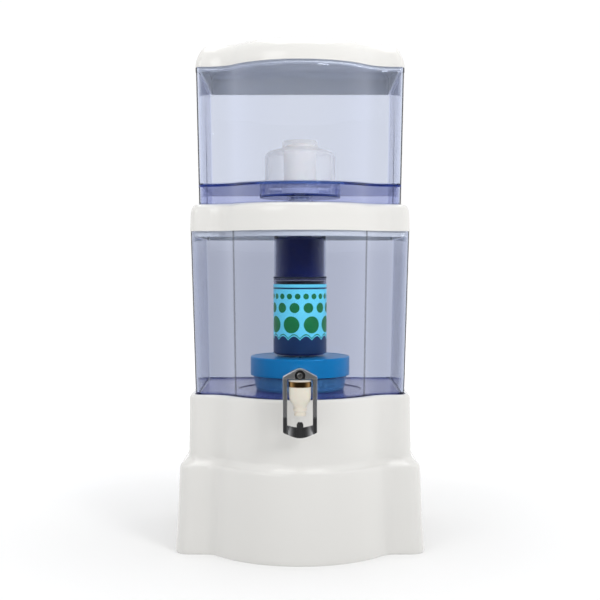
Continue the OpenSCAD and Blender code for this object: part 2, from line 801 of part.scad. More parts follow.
module candle_cover() {
    w = 2;
    shoulder = cover_shoulder_h;
    r = cover_r;
    color("#d8dce6", 0.6) placed() translate([0, 0, well_z]) rotate_extrude() polygon([
        [r, 0], [r, shoulder - 9], [r - 1.2, shoulder - 5], [r - 4, shoulder - 2],
        [r - 9, shoulder], [crown_r + 5, shoulder + 3.5], [crown_r, shoulder + 5],
        [crown_r, cover_h - 3], [crown_r - 0.9, cover_h - 0.9], [crown_r - 3, cover_h],
        [0, cover_h], [0, cover_h - w], [crown_r - w - 1, cover_h - w],
        [crown_r - w, cover_h - w - 1], [crown_r - w, shoulder + 5 - w],
        [crown_r + 4, shoulder + 3.5 - w], [r - 9, shoulder - w], [r - 4 - w / 2, shoulder - 2 - w],
        [r - w - 1, shoulder - 6], [r - w, shoulder - 9], [r - w, 0]]);
}

// ---- Cartridge ----
cap_top_z = socket_z;
cap_low_z = cap_top_z - cap_h;
seal_ring_t = 2;
cart_top_z = cap_low_z - seal_ring_t;
cart_low_z = disc_z + box_h + cart_gap;
cart_h = cart_top_z - cart_low_z;
spigot_r = cap_r - cart_wall - 0.2;
spigot_h = 12;
foot_t = 3;
foot_drop = 1.6;
bed_gap = 0.2;
screen_t = 1;
media_r = cart_r - cart_wall - bed_gap;
media_z = cart_low_z + foot_t;
media_h = cart_top_z - media_z - 3;
bed_h = (media_h - 4 * screen_t) / 3;
function screen_z(i) = media_z + i * (bed_h + screen_t);
function bed_z(i) = screen_z(i) + screen_t;

module cartridge_cap() {
    w = cart_wall;
    hub_r = stem_r + 4;
    neck_r = stem_seal_r + 12;
    cup = cap_cup_h;
    color("#0d1d3e") placed() difference() {
        union() {
            translate([0, 0, cap_low_z]) rotate_extrude() polygon([
                [cap_r - w, 0], [cap_r, 0], [cap_r, cup - 4], [cap_r - 1.2, cup - 1.2],
                [cap_r - 4, cup], [neck_r + 2, cup], [neck_r, cup + 2], [neck_r, cap_h - 2],
                [neck_r - 2, cap_h], [0, cap_h], [0, cap_h - w], [neck_r - w, cap_h - w],
                [neck_r - w, cup - w], [cap_r - w - 3, cup - w], [cap_r - w, cup - w - 3]]);
            translate([0, 0, stem_low_z]) cylinder(r = hub_r, h = cap_top_z - stem_low_z - 1);
        }
        translate([0, 0, stem_low_z - eps])
            cylinder(r = stem_r + stem_fit, h = cap_top_z - stem_low_z + 2 * eps);
    }
}

module cartridge_seal() {
    color("#1a2240") placed() translate([0, 0, cart_top_z])
        ring(cart_r + 0.3, spigot_r + 0.1, seal_ring_t);
}

module cartridge_shell() {
    w = cart_wall;
    color("#8f93bb", 0.6) placed() translate([0, 0, cart_low_z]) rotate_extrude() polygon([
        [cart_r - w, 0], [cart_r, 0], [cart_r, cart_h], [spigot_r, cart_h],
        [spigot_r, cart_h + spigot_h], [spigot_r - w, cart_h + spigot_h],
        [spigot_r - w, cart_h - w], [cart_r - w, cart_h - w]]);
}

module cartridge_label() {
    label_t = 0.35;
    label_foot = 1;
    seam = 14;
    color("#45a9c8") placed() translate([0, 0, cart_low_z + label_foot])
        rotate([0, 0, 90 + seam / 2]) rotate_extrude(angle = 360 - seam)
            translate([cart_r, 0]) square([label_t, cart_h - label_gap - label_foot]);
}

module media_screens() {
    color("gainsboro") placed() for (i = [0:3])
        translate([0, 0, screen_z(i)]) cylinder(r = media_r, h = screen_t);
}

module media_bed(i) {
    placed() translate([0, 0, bed_z(i)]) cylinder(r = media_r, h = bed_h);
}

module media_mineral() { color("#c9b48c") media_bed(0); }
module media_resin() { color("#b9772f") media_bed(1); }
module media_carbon() { color("#1b1b1b") media_bed(2); }

module cartridge_foot() {
    color("#0d1d3e") placed() translate([0, 0, cart_low_z]) difference() {
        union() {
            translate([0, 0, -foot_drop]) cylinder(r = cart_r - 3, h = foot_drop + eps);
            cylinder(r = media_r, h = foot_t);
        }
        translate([0, 0, -foot_drop]) slots(0.3 * cart_r, 0.8 * cart_r, foot_t + foot_drop);
    }
}

// ---- Upper lid ----
module upper_lid() {
    rc = tank_corner_r - 2;
    w = lid_wall;
    h = upper_lid_h;
    rim = upper_out(upper_rim_z);
    lip = rim - tank_wall - lip_gap;
    z = upper_rim_z;
    color("whitesmoke") placed() loft([
        [z + h - 2 * w, lip - w, rc - tank_wall - 3, 0.92],
        [z + h - 4 * w, lip - w, rc - tank_wall - 3],
        [z - upper_lip, lip - w, rc - tank_wall - 3],
        [z - upper_lip, lip, rc - tank_wall],
        [z, lip, rc - tank_wall],
        [z, rim + 0.3, rc],
        [z + 0.6, rim + 0.6, rc],
        [z + 6, rim + 0.3, rc],
        [z + h * 0.38, rim - 1.6, rc],
        [z + h * 0.58, rim - 4.4, rc],
        [z + h * 0.74, rim - 8.2, rc - 3],
        [z + h * 0.86, rim - 8.2, rc - 3, 0.965],
        [z + h * 0.93, rim - 8.2, rc - 3, 0.92],
        [z + h * 0.965, rim - 8.2, rc - 3, 0.86],
        [z + h * 0.985, rim - 8.2, rc - 3, 0.75],
        [z + h * 0.995, rim - 8.2, rc - 3, 0.5],
        [z + h, rim - 8.2, rc - 3, 0.2]]);
}

base_shell();
lower_tank();
mineral_box_bowl();
mineral_stones();
mineral_box_cap();
tap_body();
shank_washer_outer();
shank_washer_inner();
shank_nut();
bonnet_ring();
bonnet_cap();
lever_pin();
valve_stem();
valve_seal();
valve_spring();
tap_lever();
lever_block();
lever_washer();
lever_screw();
mid_lid();
upper_tank();
candle_element();
candle_base();
stem_seal_upper();
stem_seal_lower();
stem_nut();
cartridge_cap();
cartridge_seal();
cartridge_shell();
cartridge_label();
media_screens();
media_carbon();
media_resin();
media_mineral();
cartridge_foot();
candle_cover();
upper_lid();
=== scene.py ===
"""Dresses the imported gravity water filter: shells, fillings, finishes, lights and camera.

Sizes are in millimetres about the stack's upright axis, as the solids are drawn, and every
finished mesh is put into the row frame, in metres, by Workshop.finish.
"""

import logging
import math
import random
from abc import ABC, abstractmethod
from dataclasses import dataclass
from enum import Enum
from typing import Iterable, Optional, Sequence, Union

import bmesh
import bpy
from mathutils import Matrix, Vector


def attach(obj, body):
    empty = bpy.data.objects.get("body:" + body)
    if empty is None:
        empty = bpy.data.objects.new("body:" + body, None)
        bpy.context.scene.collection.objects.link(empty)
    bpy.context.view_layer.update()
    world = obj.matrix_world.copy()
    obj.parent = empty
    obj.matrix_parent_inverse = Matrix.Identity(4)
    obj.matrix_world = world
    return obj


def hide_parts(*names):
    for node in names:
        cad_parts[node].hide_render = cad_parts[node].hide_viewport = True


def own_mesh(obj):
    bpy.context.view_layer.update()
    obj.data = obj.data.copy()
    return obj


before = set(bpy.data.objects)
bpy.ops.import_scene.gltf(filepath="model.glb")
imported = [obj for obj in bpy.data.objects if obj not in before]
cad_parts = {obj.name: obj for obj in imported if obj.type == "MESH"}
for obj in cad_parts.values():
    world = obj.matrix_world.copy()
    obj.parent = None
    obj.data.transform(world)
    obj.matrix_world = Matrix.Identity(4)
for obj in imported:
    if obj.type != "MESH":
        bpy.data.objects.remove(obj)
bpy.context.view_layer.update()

LOG = logging.getLogger("water_filter")
MM = 0.001
FRAME_Y = 19.142
SHARP_ANGLE = math.radians(38)
DOUBLES = 0.0005
CAD_DOUBLES = 0.001
FLAT_ANGLE = math.radians(0.5)
TURN_LIMIT = 0.49
HOLD_REACH = 1.7
HOLD_LIMIT = 0.3
TURN_STEPS = 4

Colour = tuple[float, float, float]
Number = Union[float, "Value"]


# ---------------------------------------------------------------- shader maths


class Value:
    """A number or colour that a node gives out. Python sums on it add Math nodes."""

    def __init__(self, shader: "Shader", socket: bpy.types.NodeSocket) -> None:
        """Wraps one output socket of a shader's tree."""
        self.shader = shader
        self.socket = socket

    def __getitem__(self, name: str) -> "Value":
        """Another output of the same node, by its name."""
        return Value(self.shader, self.socket.node.outputs[name])

    def _sum(self, operation: str, first: Number, second: Number) -> "Value":
        """One Math node with two inputs."""
        return self.shader.node("Math", {"operation": operation}, {0: first, 1: second})

    def __add__(self, other: Number) -> "Value":
        """self + other."""
        return self._sum("ADD", self, other)

    def __radd__(self, other: Number) -> "Value":
        """other + self."""
        return self._sum("ADD", other, self)

    def __sub__(self, other: Number) -> "Value":
        """self - other."""
        return self._sum("SUBTRACT", self, other)

    def __rsub__(self, other: Number) -> "Value":
        """other - self."""
        return self._sum("SUBTRACT", other, self)

    def __mul__(self, other: Number) -> "Value":
        """self * other."""
        return self._sum("MULTIPLY", self, other)

    def __rmul__(self, other: Number) -> "Value":
        """other * self."""
        return self._sum("MULTIPLY", other, self)

    def __gt__(self, other: Number) -> "Value":
        """1 where self is above other, else 0."""
        return self._sum("GREATER_THAN", self, other)

    def __lt__(self, other: Number) -> "Value":
        """1 where self is below other, else 0."""
        return self._sum("LESS_THAN", self, other)

    def __mod__(self, other: Number) -> "Value":
        """The floored remainder of self by other."""
        return self._sum("FLOORED_MODULO", self, other)

    def top(self, other: Number) -> "Value":
        """The larger of self and other."""
        return self._sum("MAXIMUM", self, other)

    def sine(self) -> "Value":
        """The sine of self."""
        return self.shader.node("Math", {"operation": "SINE"}, {0: self})

    def size(self) -> "Value":
        """self without its sign."""
        return self.shader.node("Math", {"operation": "ABSOLUTE"}, {0: self})

    def eased(self, low: float, high: float) -> "Value":
        """0 at low and 1 at high, with a smooth step between; high may be the lower one."""
        ends = {"Value": self, "From Min": low, "From Max": high}
        return self.shader.node("MapRange", {"interpolation_type": "SMOOTHSTEP"}, ends)


class Shader:
    """A node tree of a material or a world. One method adds any node."""

    def __init__(self, name: str, store: Optional[bpy.types.bpy_prop_collection] = None) -> None:
        """Starts an empty tree.

        Args:
            name: the name of the material or world.
            store: where it is made; materials if not given.
        """
        self.material = (bpy.data.materials if store is None else store).new(name)
        self.material.use_nodes = True
        self.tree = self.material.node_tree
        self.tree.nodes.clear()

    def node(
        self,
        kind: str,
        settings: Optional[dict] = None,
        inputs: Optional[dict] = None,
        out: Union[int, str] = 0,
    ) -> Value:
        """Adds a node, sets it up and links it.

        Args:
            kind: the node's type, without the ShaderNode in front.
            settings: its properties.
            inputs: a number, colour or Value for each socket, by name or place.
            out: the output that is given back.

        Returns:
            The chosen output.
        """
        made = self.tree.nodes.new("ShaderNode" + kind)
        for key, setting in (settings or {}).items():
            setattr(made, key, setting)
        for key, given in (inputs or {}).items():
            socket = made.inputs[key]
            if isinstance(given, Value):
                self.tree.links.new(given.socket, socket)
            else:
                socket.default_value = self._fitted(socket, given)
        return Value(self, made.outputs[out]) if made.outputs else None

    @staticmethod
    def _fitted(socket: bpy.types.NodeSocket, given: object) -> object:
        """A colour of three numbers gets its alpha where the socket holds four.

        Args:
            socket: the input that is set.
            given: the number, colour or name for it.

        Returns:
            What the socket takes.
        """
        if socket.type == "RGBA" and len(given) == 3:
            return (*given, 1.0)
        return given

    def place(self) -> Value:
        """Where a point is on the piece, in metres in the row frame."""
        return self.node("TexCoord", out="Object")

    def noise(self, scale: float, detail: float, stretch: Optional[Value] = None) -> Value:
        """Soft noise about 0.5, with scale features to the metre and detail finer layers."""
        where = stretch or self.place()
        return self.node("TexNoise", {}, {"Vector": where, "Scale": scale, "Detail": detail})

    def mix(self, factor: Number, first: object, second: object) -> Value:
        """A colour between two: a factor of 0 gives first, and 1 gives second."""
        ends = {0: factor, 6: first, 7: second}
        return self.node("Mix", {"data_type": "RGBA"}, ends, out=2)

    def bump(self, height: Value, distance: float, strength: float = 1.0) -> Value:
        """A normal that follows a height, of which 0 to 1 stands for distance in metres."""
        sockets = {"Height": height, "Distance": distance, "Strength": strength}
        return self.node("Bump", {}, sockets)

    def surface(self, sockets: dict) -> Value:
        """A Principled surface, tied to the material's output.

        Args:
            sockets: its sockets, by name.

        Returns:
            The shader.
        """
        made = self.node("BsdfPrincipled", {}, sockets)
        self.node("OutputMaterial", {}, {"Surface": made})
        return made


# ---------------------------------------------------------------- finishes


@dataclass(frozen=True)
class Finish(ABC):
    """A material of the filter, and the record's slot that it belongs to."""

    name: str
    slot: str
    colour: Colour

    @abstractmethod
    def dress(self, shader: Shader) -> None:
        """Builds the finish's nodes in an empty tree."""

    def material(self) -> bpy.types.Material:
        """Makes the finish's material the first time and finds it after that.

        Returns:
            The material.
        """
        own = self.name + "_finish"
        kept = bpy.data.materials.get(own)
        if kept:
            return kept
        shader = Shader(own)
        self.dress(shader)
        return shader.material

    def shaded(self, share: float) -> Colour:
        """The finish's colour times a share."""
        return tuple(c * share for c in self.colour)


@dataclass(frozen=True)
class Moulded(Finish):
    """Opaque injection-moulded plastic, faint skin, slow mould waves and an optional painted glow.
    """

    rough: float = 0.25
    grain: float = 0.00002
    wave: float = 0.0006
    coat: float = 0.0
    uneven: float = 0.03
    glow: float = 0.0
    gloss: float = 0.5
    painted_glow: float = 0.0

    def dress(self, shader: Shader) -> None:
        """Tone and gloss drift slowly, and a fine grain breaks the highlights.

        Args:
            shader: the finish's empty tree.
        """
        drift = shader.noise(9.0, 3.0)
        fine = shader.noise(1400.0, 2.0)
        wave = shader.noise(26.0, 1.0)
        tone = shader.mix(drift, self.colour, self.shaded(1 - self.uneven))
        skin = shader.bump(fine, self.grain)
        waves = {"Height": wave, "Distance": self.wave, "Strength": 0.25, "Normal": skin}
        shader.surface({
            "Base Color": tone,
            "Roughness": self.rough + (drift - 0.5) * 0.12,
            "Normal": shader.node("Bump", {}, waves),
            "Coat Weight": self.coat,
            "Coat Roughness": 0.08,
            "IOR": 1.5,
            "Specular IOR Level": self.gloss,
            # Emission is a painted glow, not a lamp.
            "Emission Color": self.colour,
            "Emission Strength": self.painted_glow,
            "Subsurface Weight": self.glow,
            "Subsurface Scale": 0.004,
        })


@dataclass(frozen=True)
class Clear(Finish):
    """Tinted clear plastic. The tint is in the wall's depth, so edges seen along it go dark.

    milk everywhere is a share of an opaque body of the edge colour; below a given height a further
    share of that body and a darker base colour are painted shade.
    """

    depth_tint: Colour = (0.2, 0.3, 0.5)
    density: float = 80.0
    rough: float = 0.02
    haze: float = 0.02
    index: float = 1.49
    mirror: float = 0.1
    rim: Colour = (1.0, 1.0, 1.0)
    cast: Colour = (0.94, 0.96, 1.0)
    edge: Colour = (0.4, 0.4, 0.66)
    milk: float = 0.0
    shade_share: float = 0.0
    foot_shade: Colour = (1.0, 1.0, 1.0)
    shade_below: float = -1.0
    level: float = 0.0002
    grazing: tuple[float, float] = (0.55, 0.95)
    graze_share: float = 0.8
    painted_creases: tuple[tuple[float, float, float], ...] = ()
    crease_span: tuple[float, float] = (0.222, 0.457)
    crease_edge: tuple[float, float] = (0.0011, 0.0005)
    front: tuple[float, float] = (-0.08, -0.085)

    def dress(self, shader: Shader) -> None:
        """A clear skin with slow ripples round a tinted body, with painted shade at its foot.

        Args:
            shader: the finish's empty tree.
        """
        ripple = shader.noise(34.0, 1.0)
        cloud = shader.noise(18.0, 3.0)
        parts = shader.node("SeparateXYZ", {}, {0: shader.place()}, out="Z")
        # foot is 1 below a given height, where painted shade darkens the wall.
        foot = parts.eased(self.shade_below + self.level, self.shade_below - self.level)
        along = shader.node("LayerWeight", {}, {"Blend": 0.25}, out="Facing")
        tone = shader.mix(along, self.colour, self.rim)
        # Painted shade: dark crease lines that the smooth shell doesn't have.
        tone = shader.mix(self._painted_creases(parts), tone, self.shaded(0.3))
        made = shader.node("BsdfPrincipled", {}, {
            "Base Color": shader.mix(foot, tone, self.foot_shade),
            "Roughness": self.rough + cloud * self.haze,
            "IOR": self.index,
            "Transmission Weight": 1.0,
            "Specular IOR Level": self.mirror,
            "Normal": shader.bump(ripple, 0.0002, 0.3),
        })
        tint = {"Color": self.depth_tint, "Density": self.density}
        body = shader.node("VolumeAbsorption", {}, tint)
        passing = shader.node("BsdfTransparent", {}, {"Color": self.cast})
        solid_look = {
            "Base Color": self.edge, "Roughness": 0.2, "Specular IOR Level": self.mirror,
        }
        edge = shader.node("BsdfPrincipled", {}, solid_look)
        # The opaque body shows at grazing angles, as milk, and as painted shade below the foot's
        # height.
        solid = along.eased(*self.grazing) * self.graze_share + foot * self.shade_share + self.milk
        skin = shader.node("MixShader", {}, {0: solid, 1: made, 2: edge})
        shadow = shader.node("LightPath", out="Is Shadow Ray")
        skin = shader.node("MixShader", {}, {0: shadow, 1: skin, 2: passing})
        shader.node("OutputMaterial", {}, {"Surface": skin, "Volume": body})

    def _painted_creases(self, parts: Value) -> Number:
        """Painted shade: dark lines down the front wall where the tank's creases look dark, each
        given by x at its top and foot and its share.

        Args:
            parts: the separated coordinates, standing for Z.

        Returns:
            How much of a painted crease line shows.
        """
        low, high = self.crease_span
        shown: Number = 0.0
        for top_x, foot_x, share in self.painted_creases:
            slope = (top_x - foot_x) / (high - low)
            line = (parts - low) * slope + foot_x
            near = (parts["X"] - line).size().eased(*self.crease_edge)
            shown = near * share + shown
        return parts["Y"].eased(*self.front) * shown


@dataclass(frozen=True)
class Frosted(Finish):
    """Thin milky plastic that lets most of what is behind it show, with a faint painted glow."""

    veil: float = 0.4
    rough: float = 0.4
    painted_glow: float = 0.04

    def dress(self, shader: Shader) -> None:
        """The veil is thicker in slow clouds and where the wall is seen along it.

        Args:
            shader: the finish's empty tree.
        """
        cloud = shader.noise(30.0, 2.0)
        edge = shader.node("LayerWeight", {}, {"Blend": 0.35}, out="Facing")
        shader.surface({
            "Base Color": shader.mix(cloud, self.colour, self.shaded(0.95)),
            "Roughness": self.rough + cloud * 0.1,
            "Alpha": self.veil + (cloud - 0.5) * 0.08 + edge * 0.25,
            # Emission: a painted glow, standing in for light scattered in the veil.
            "Emission Color": self.colour,
            "Emission Strength": self.painted_glow,
            "Normal": shader.bump(shader.noise(700.0, 2.0), 0.00003),
        })


@dataclass(frozen=True)
class Metal(Finish):
    """Plated or bare metal with fine polishing marks along one direction.

    Above a height some metal is taken away: a painted reflection of paler surroundings than
    the studio has, and no property of the plating.
    """

    rough: float = 0.12
    marks: float = 0.1
    stretch: tuple[float, float, float] = (1.0, 1.0, 0.05)
    satin: float = 0.0
    reflection_from: float = 0.0

    def dress(self, shader: Shader) -> None:
        """Marks run along the direction that stretch holds back.

        Args:
            shader: the finish's empty tree.
        """
        height = shader.node("SeparateXYZ", {}, {0: shader.place()}, out="Z")
        # Painted reflection: less metal above a height, as if paler surroundings showed there.
        painted_paleness = height.eased(self.reflection_from - 0.002, self.reflection_from + 0.002) * self.satin
        along = shader.node("Mapping", {}, {"Vector": shader.place(), "Scale": self.stretch})
        marks = shader.noise(1800.0, 3.0, along)
        drift = shader.noise(60.0, 2.0)
        shader.surface({
            "Base Color": shader.mix(drift, self.colour, self.shaded(0.88)),
            "Metallic": 1.0 - painted_paleness,
            "Roughness": self.rough + (marks - 0.5) * self.marks + (drift - 0.5) * 0.05,
            "Normal": shader.bump(marks, 0.00002, 0.5),
        })


@dataclass(frozen=True)
class Rubber(Finish):
    """Matte seal rubber with a fine bloom."""

    def dress(self, shader: Shader) -> None:
        """A dusty bloom lightens the rubber in patches.

        Args:
            shader: the finish's empty tree.
        """
        bloom = shader.noise(220.0, 4.0)
        fine = shader.noise(2400.0, 2.0)
        shader.surface({
            "Base Color": shader.mix(bloom.eased(0.35, 0.9), self.colour, self.shaded(1.7)),
            "Roughness": 0.6 + bloom * 0.2,
            "Normal": shader.bump(fine, 0.00005),
        })


@dataclass(frozen=True)
class Granules(Finish):
    """A bed of loose grains: cells of many tones, each standing proud of the next."""

    second: Colour = (0.5, 0.5, 0.5)
    cell: float = 0.0015
    rough: float = 0.6

    def dress(self, shader: Shader) -> None:
        """Each cell has a tone of its own and a round top.

        Args:
            shader: the finish's empty tree.
        """
        sockets = {"Vector": shader.place(), "Scale": 1 / self.cell}
        cells = shader.node("TexVoronoi", {"feature": "F1"}, sockets, out="Distance")
        tone = shader.node("SeparateColor", {}, {"Color": cells["Color"]})
        shader.surface({
            "Base Color": shader.mix(tone, self.colour, self.second),
            "Roughness": self.rough + (tone["Green"] - 0.5) * 0.2,
            "Normal": shader.bump(1 - cells, self.cell * 0.8),
        })


@dataclass(frozen=True)
class Felt(Finish):
    """Pressed fibre sheet."""

    def dress(self, shader: Shader) -> None:
        """Long crossed fibres in two layers of noise.

        Args:
            shader: the finish's empty tree.
        """
        flat = shader.node("Mapping", {}, {"Vector": shader.place(), "Scale": (1.0, 0.12, 1.0)})
        cross = shader.node("Mapping", {}, {"Vector": shader.place(), "Scale": (0.12, 1.0, 1.0)})
        fibres = shader.noise(1500.0, 3.0, flat).top(shader.noise(1500.0, 3.0, cross))
        shader.surface({
            "Base Color": shader.mix(fibres, self.shaded(0.7), self.colour),
            "Roughness": 0.9,
            "Normal": shader.bump(fibres, 0.0002),
        })


@dataclass(frozen=True)
class Ceramic(Finish):
    """Porous unglazed ceramic."""

    painted_glow: float = 0.2

    def dress(self, shader: Shader) -> None:
        """Chalky body with small pores, faint stains and a painted glow.

        Args:
            shader: the finish's empty tree.
        """
        sockets = {"Vector": shader.place(), "Scale": 900.0}
        pores = shader.node("TexVoronoi", {"feature": "F1"}, sockets)
        stains = shader.noise(45.0, 4.0)
        shader.surface({
            "Base Color": shader.mix(stains.eased(0.4, 0.8), self.colour, self.shaded(0.9)),
            "Roughness": 0.75 + stains * 0.15,
            "Normal": shader.bump(pores.eased(0.0, 0.45), 0.00008, 0.6),
            # Emission: a painted glow, standing in for light inside the tank.
            "Emission Color": self.colour,
            "Emission Strength": self.painted_glow,
            "Subsurface Weight": 0.1,
            "Subsurface Scale": 0.003,
        })


@dataclass(frozen=True)
class Pebble(Finish):
    """Washed mineral stones, each of a tone of its own."""

    second: Colour = (0.3, 0.25, 0.2)

    def dress(self, shader: Shader) -> None:
        """Bands and specks over a tone that each stone carries as an attribute.

        Args:
            shader: the finish's empty tree.
        """
        tone = shader.node("Attribute", {"attribute_name": "tone"}, out="Fac")
        specks = shader.noise(700.0, 4.0)
        bands = shader.noise(90.0, 3.0)
        body = shader.mix(tone, self.colour, self.second)
        shader.surface({
            "Base Color": shader.mix(specks.eased(0.5, 0.75) * 0.5, body, self.shaded(0.4)),
            "Roughness": 0.45 + bands * 0.25,
            "Normal": shader.bump(bands + specks * 0.3, 0.0004),
        })


# ---------------------------------------------------------------- mesh building


@dataclass(frozen=True)
class Level:
    """One ring of a moulded shell.

    z is its height, out its growth against the lower tank's rim, corner its corner radius,
    scale its size against the stack's axis, and soft how far the turn there is rounded.
    """

    z: float
    out: float
    corner: float
    scale: float = 1.0
    soft: float = 0.0

    def numbers(self) -> tuple[float, ...]:
        """The level's numbers without its softness."""
        return (self.z, self.out, self.corner, self.scale)


@dataclass(frozen=True)
class Turn:
    """One corner of a turned profile: its radius, its height and how far it is rounded."""

    r: float
    z: float
    soft: float = 0.0

    def numbers(self) -> tuple[float, ...]:
        """The corner's radius and height."""
        return (self.r, self.z)


def eased(points: Sequence[Union[Level, Turn]], steps: int, closed: bool) -> list[tuple]:
    """Rounds the soft corners of a path with short curves.

    A long straight run beside a rounded corner gets one more point close to it, so the run
    stays flat when the mesh is shaded smooth.

    Args:
        points: the path's corners.
        steps: how many pieces a rounded corner has.
        closed: whether the last corner joins the first.

    Returns:
        The numbers of every point of the eased path.
    """
    path: list[tuple] = []
    count = len(points)
    for i, point in enumerate(points):
        here = point.numbers()
        inner = closed or 0 < i < count - 1
        if point.soft <= 0 or not inner:
            path.append(here)
            continue
        ends, holds = [], []
        for other in (points[i - 1].numbers(), points[(i + 1) % count].numbers()):
            run = math.hypot(other[0] - here[0], other[1] - here[1]) or 1.0
            share = min(point.soft / run, TURN_LIMIT)
            ends.append([h + (o - h) * share for h, o in zip(here, other)])
            far = share * HOLD_REACH
            held = tuple(h + (o - h) * far for h, o in zip(here, other))
            holds.append([held] if far < HOLD_LIMIT else [])
        path.extend(holds[0])
        for k in range(steps + 1):
            t = k / steps
            path.append(
                tuple(
                    (1 - t) ** 2 * a + 2 * t * (1 - t) * h + t * t * b
                    for a, h, b in zip(ends[0], here, ends[1])
                )
            )
        path.extend(holds[1])
    return path


@dataclass(frozen=True)
class Footprint:
    """The plan outline of every moulded shell: flat sides and a bulge in the front's middle."""

    width: float = 314.8
    depth: float = 320.0
    bulge_r: float = 128.0
    bulge_rise: float = 64.0
    blend_r: float = 45.0
    arc_steps: int = 40
    blend_steps: int = 14
    corner_steps: int = 8
    hold: float = 3.0

    def half(self, out: float, corner: float) -> list[tuple[float, float]]:
        """The right half, from the front apex to the middle of the back.

        Args:
            out: growth of the outline.
            corner: corner radius.

        Returns:
            The points, left out at the very front and back.
        """
        half_width, arc_y = self.width / 2 + out, self.bulge_r - self.depth / 2
        front = self.bulge_rise - self.depth / 2
        blend_y = front - self.blend_r
        reach = self.bulge_r + self.blend_r
        blend_x = math.sqrt(reach**2 - (arc_y - blend_y) ** 2)
        sweep = math.asin(blend_x / reach)
        r, f, back = self.bulge_r + out, self.blend_r - out, self.depth / 2 + out
        points = []
        for i in range(1, self.arc_steps + 1):
            t = sweep * i / self.arc_steps
            points.append((r * math.sin(t), arc_y - r * math.cos(t)))
        for i in range(1, self.blend_steps + 1):
            t = sweep * (1 - i / self.blend_steps)
            points.append((blend_x - f * math.sin(t), blend_y + f * math.cos(t)))
        inset, hold = half_width - corner, self.hold
        low, high = front - out + corner, back - corner
        for centre_y, start in ((low, -90), (high, 0)):
            turn = [math.radians(start + 90 * i / self.corner_steps)
                    for i in range(self.corner_steps + 1)]
            arc = [(inset + corner * math.cos(t), centre_y + corner * math.sin(t)) for t in turn]
            if start < 0:
                points += [(inset - hold, front - out), *arc, (half_width, low + hold)]
            else:
                points += [(half_width, high - hold), *arc, (inset - hold, back)]
        return points

    def ring(self, level: tuple) -> list[Vector]:
        """The whole outline of a level, anticlockwise seen from above.

        Args:
            level: its height, growth, corner radius and scale.

        Returns:
            The outline's points.
        """
        z, out, corner, scale = level
        right = self.half(out, corner)
        apex = (0.0, -(self.depth / 2 + out))
        rear = (0.0, self.depth / 2 + out)
        flat = [apex, *right, rear, *[(-x, y) for x, y in reversed(right)]]
        return [Vector((x * scale, y * scale, z)) for x, y in flat]


FOOTPRINT = Footprint()


class Join(Enum):
    """What a Boolean does with its tools."""

    CUT = "DIFFERENCE"
    FUSE = "UNION"


def placed(name: str, data: bpy.types.ID) -> bpy.types.Object:
    """Puts new data into the scene.

    Args:
        name: the object's name.
        data: its mesh, light or camera.

    Returns:
        The object.
    """
    made = bpy.data.objects.new(name, data)
    bpy.context.scene.collection.objects.link(made)
    return made


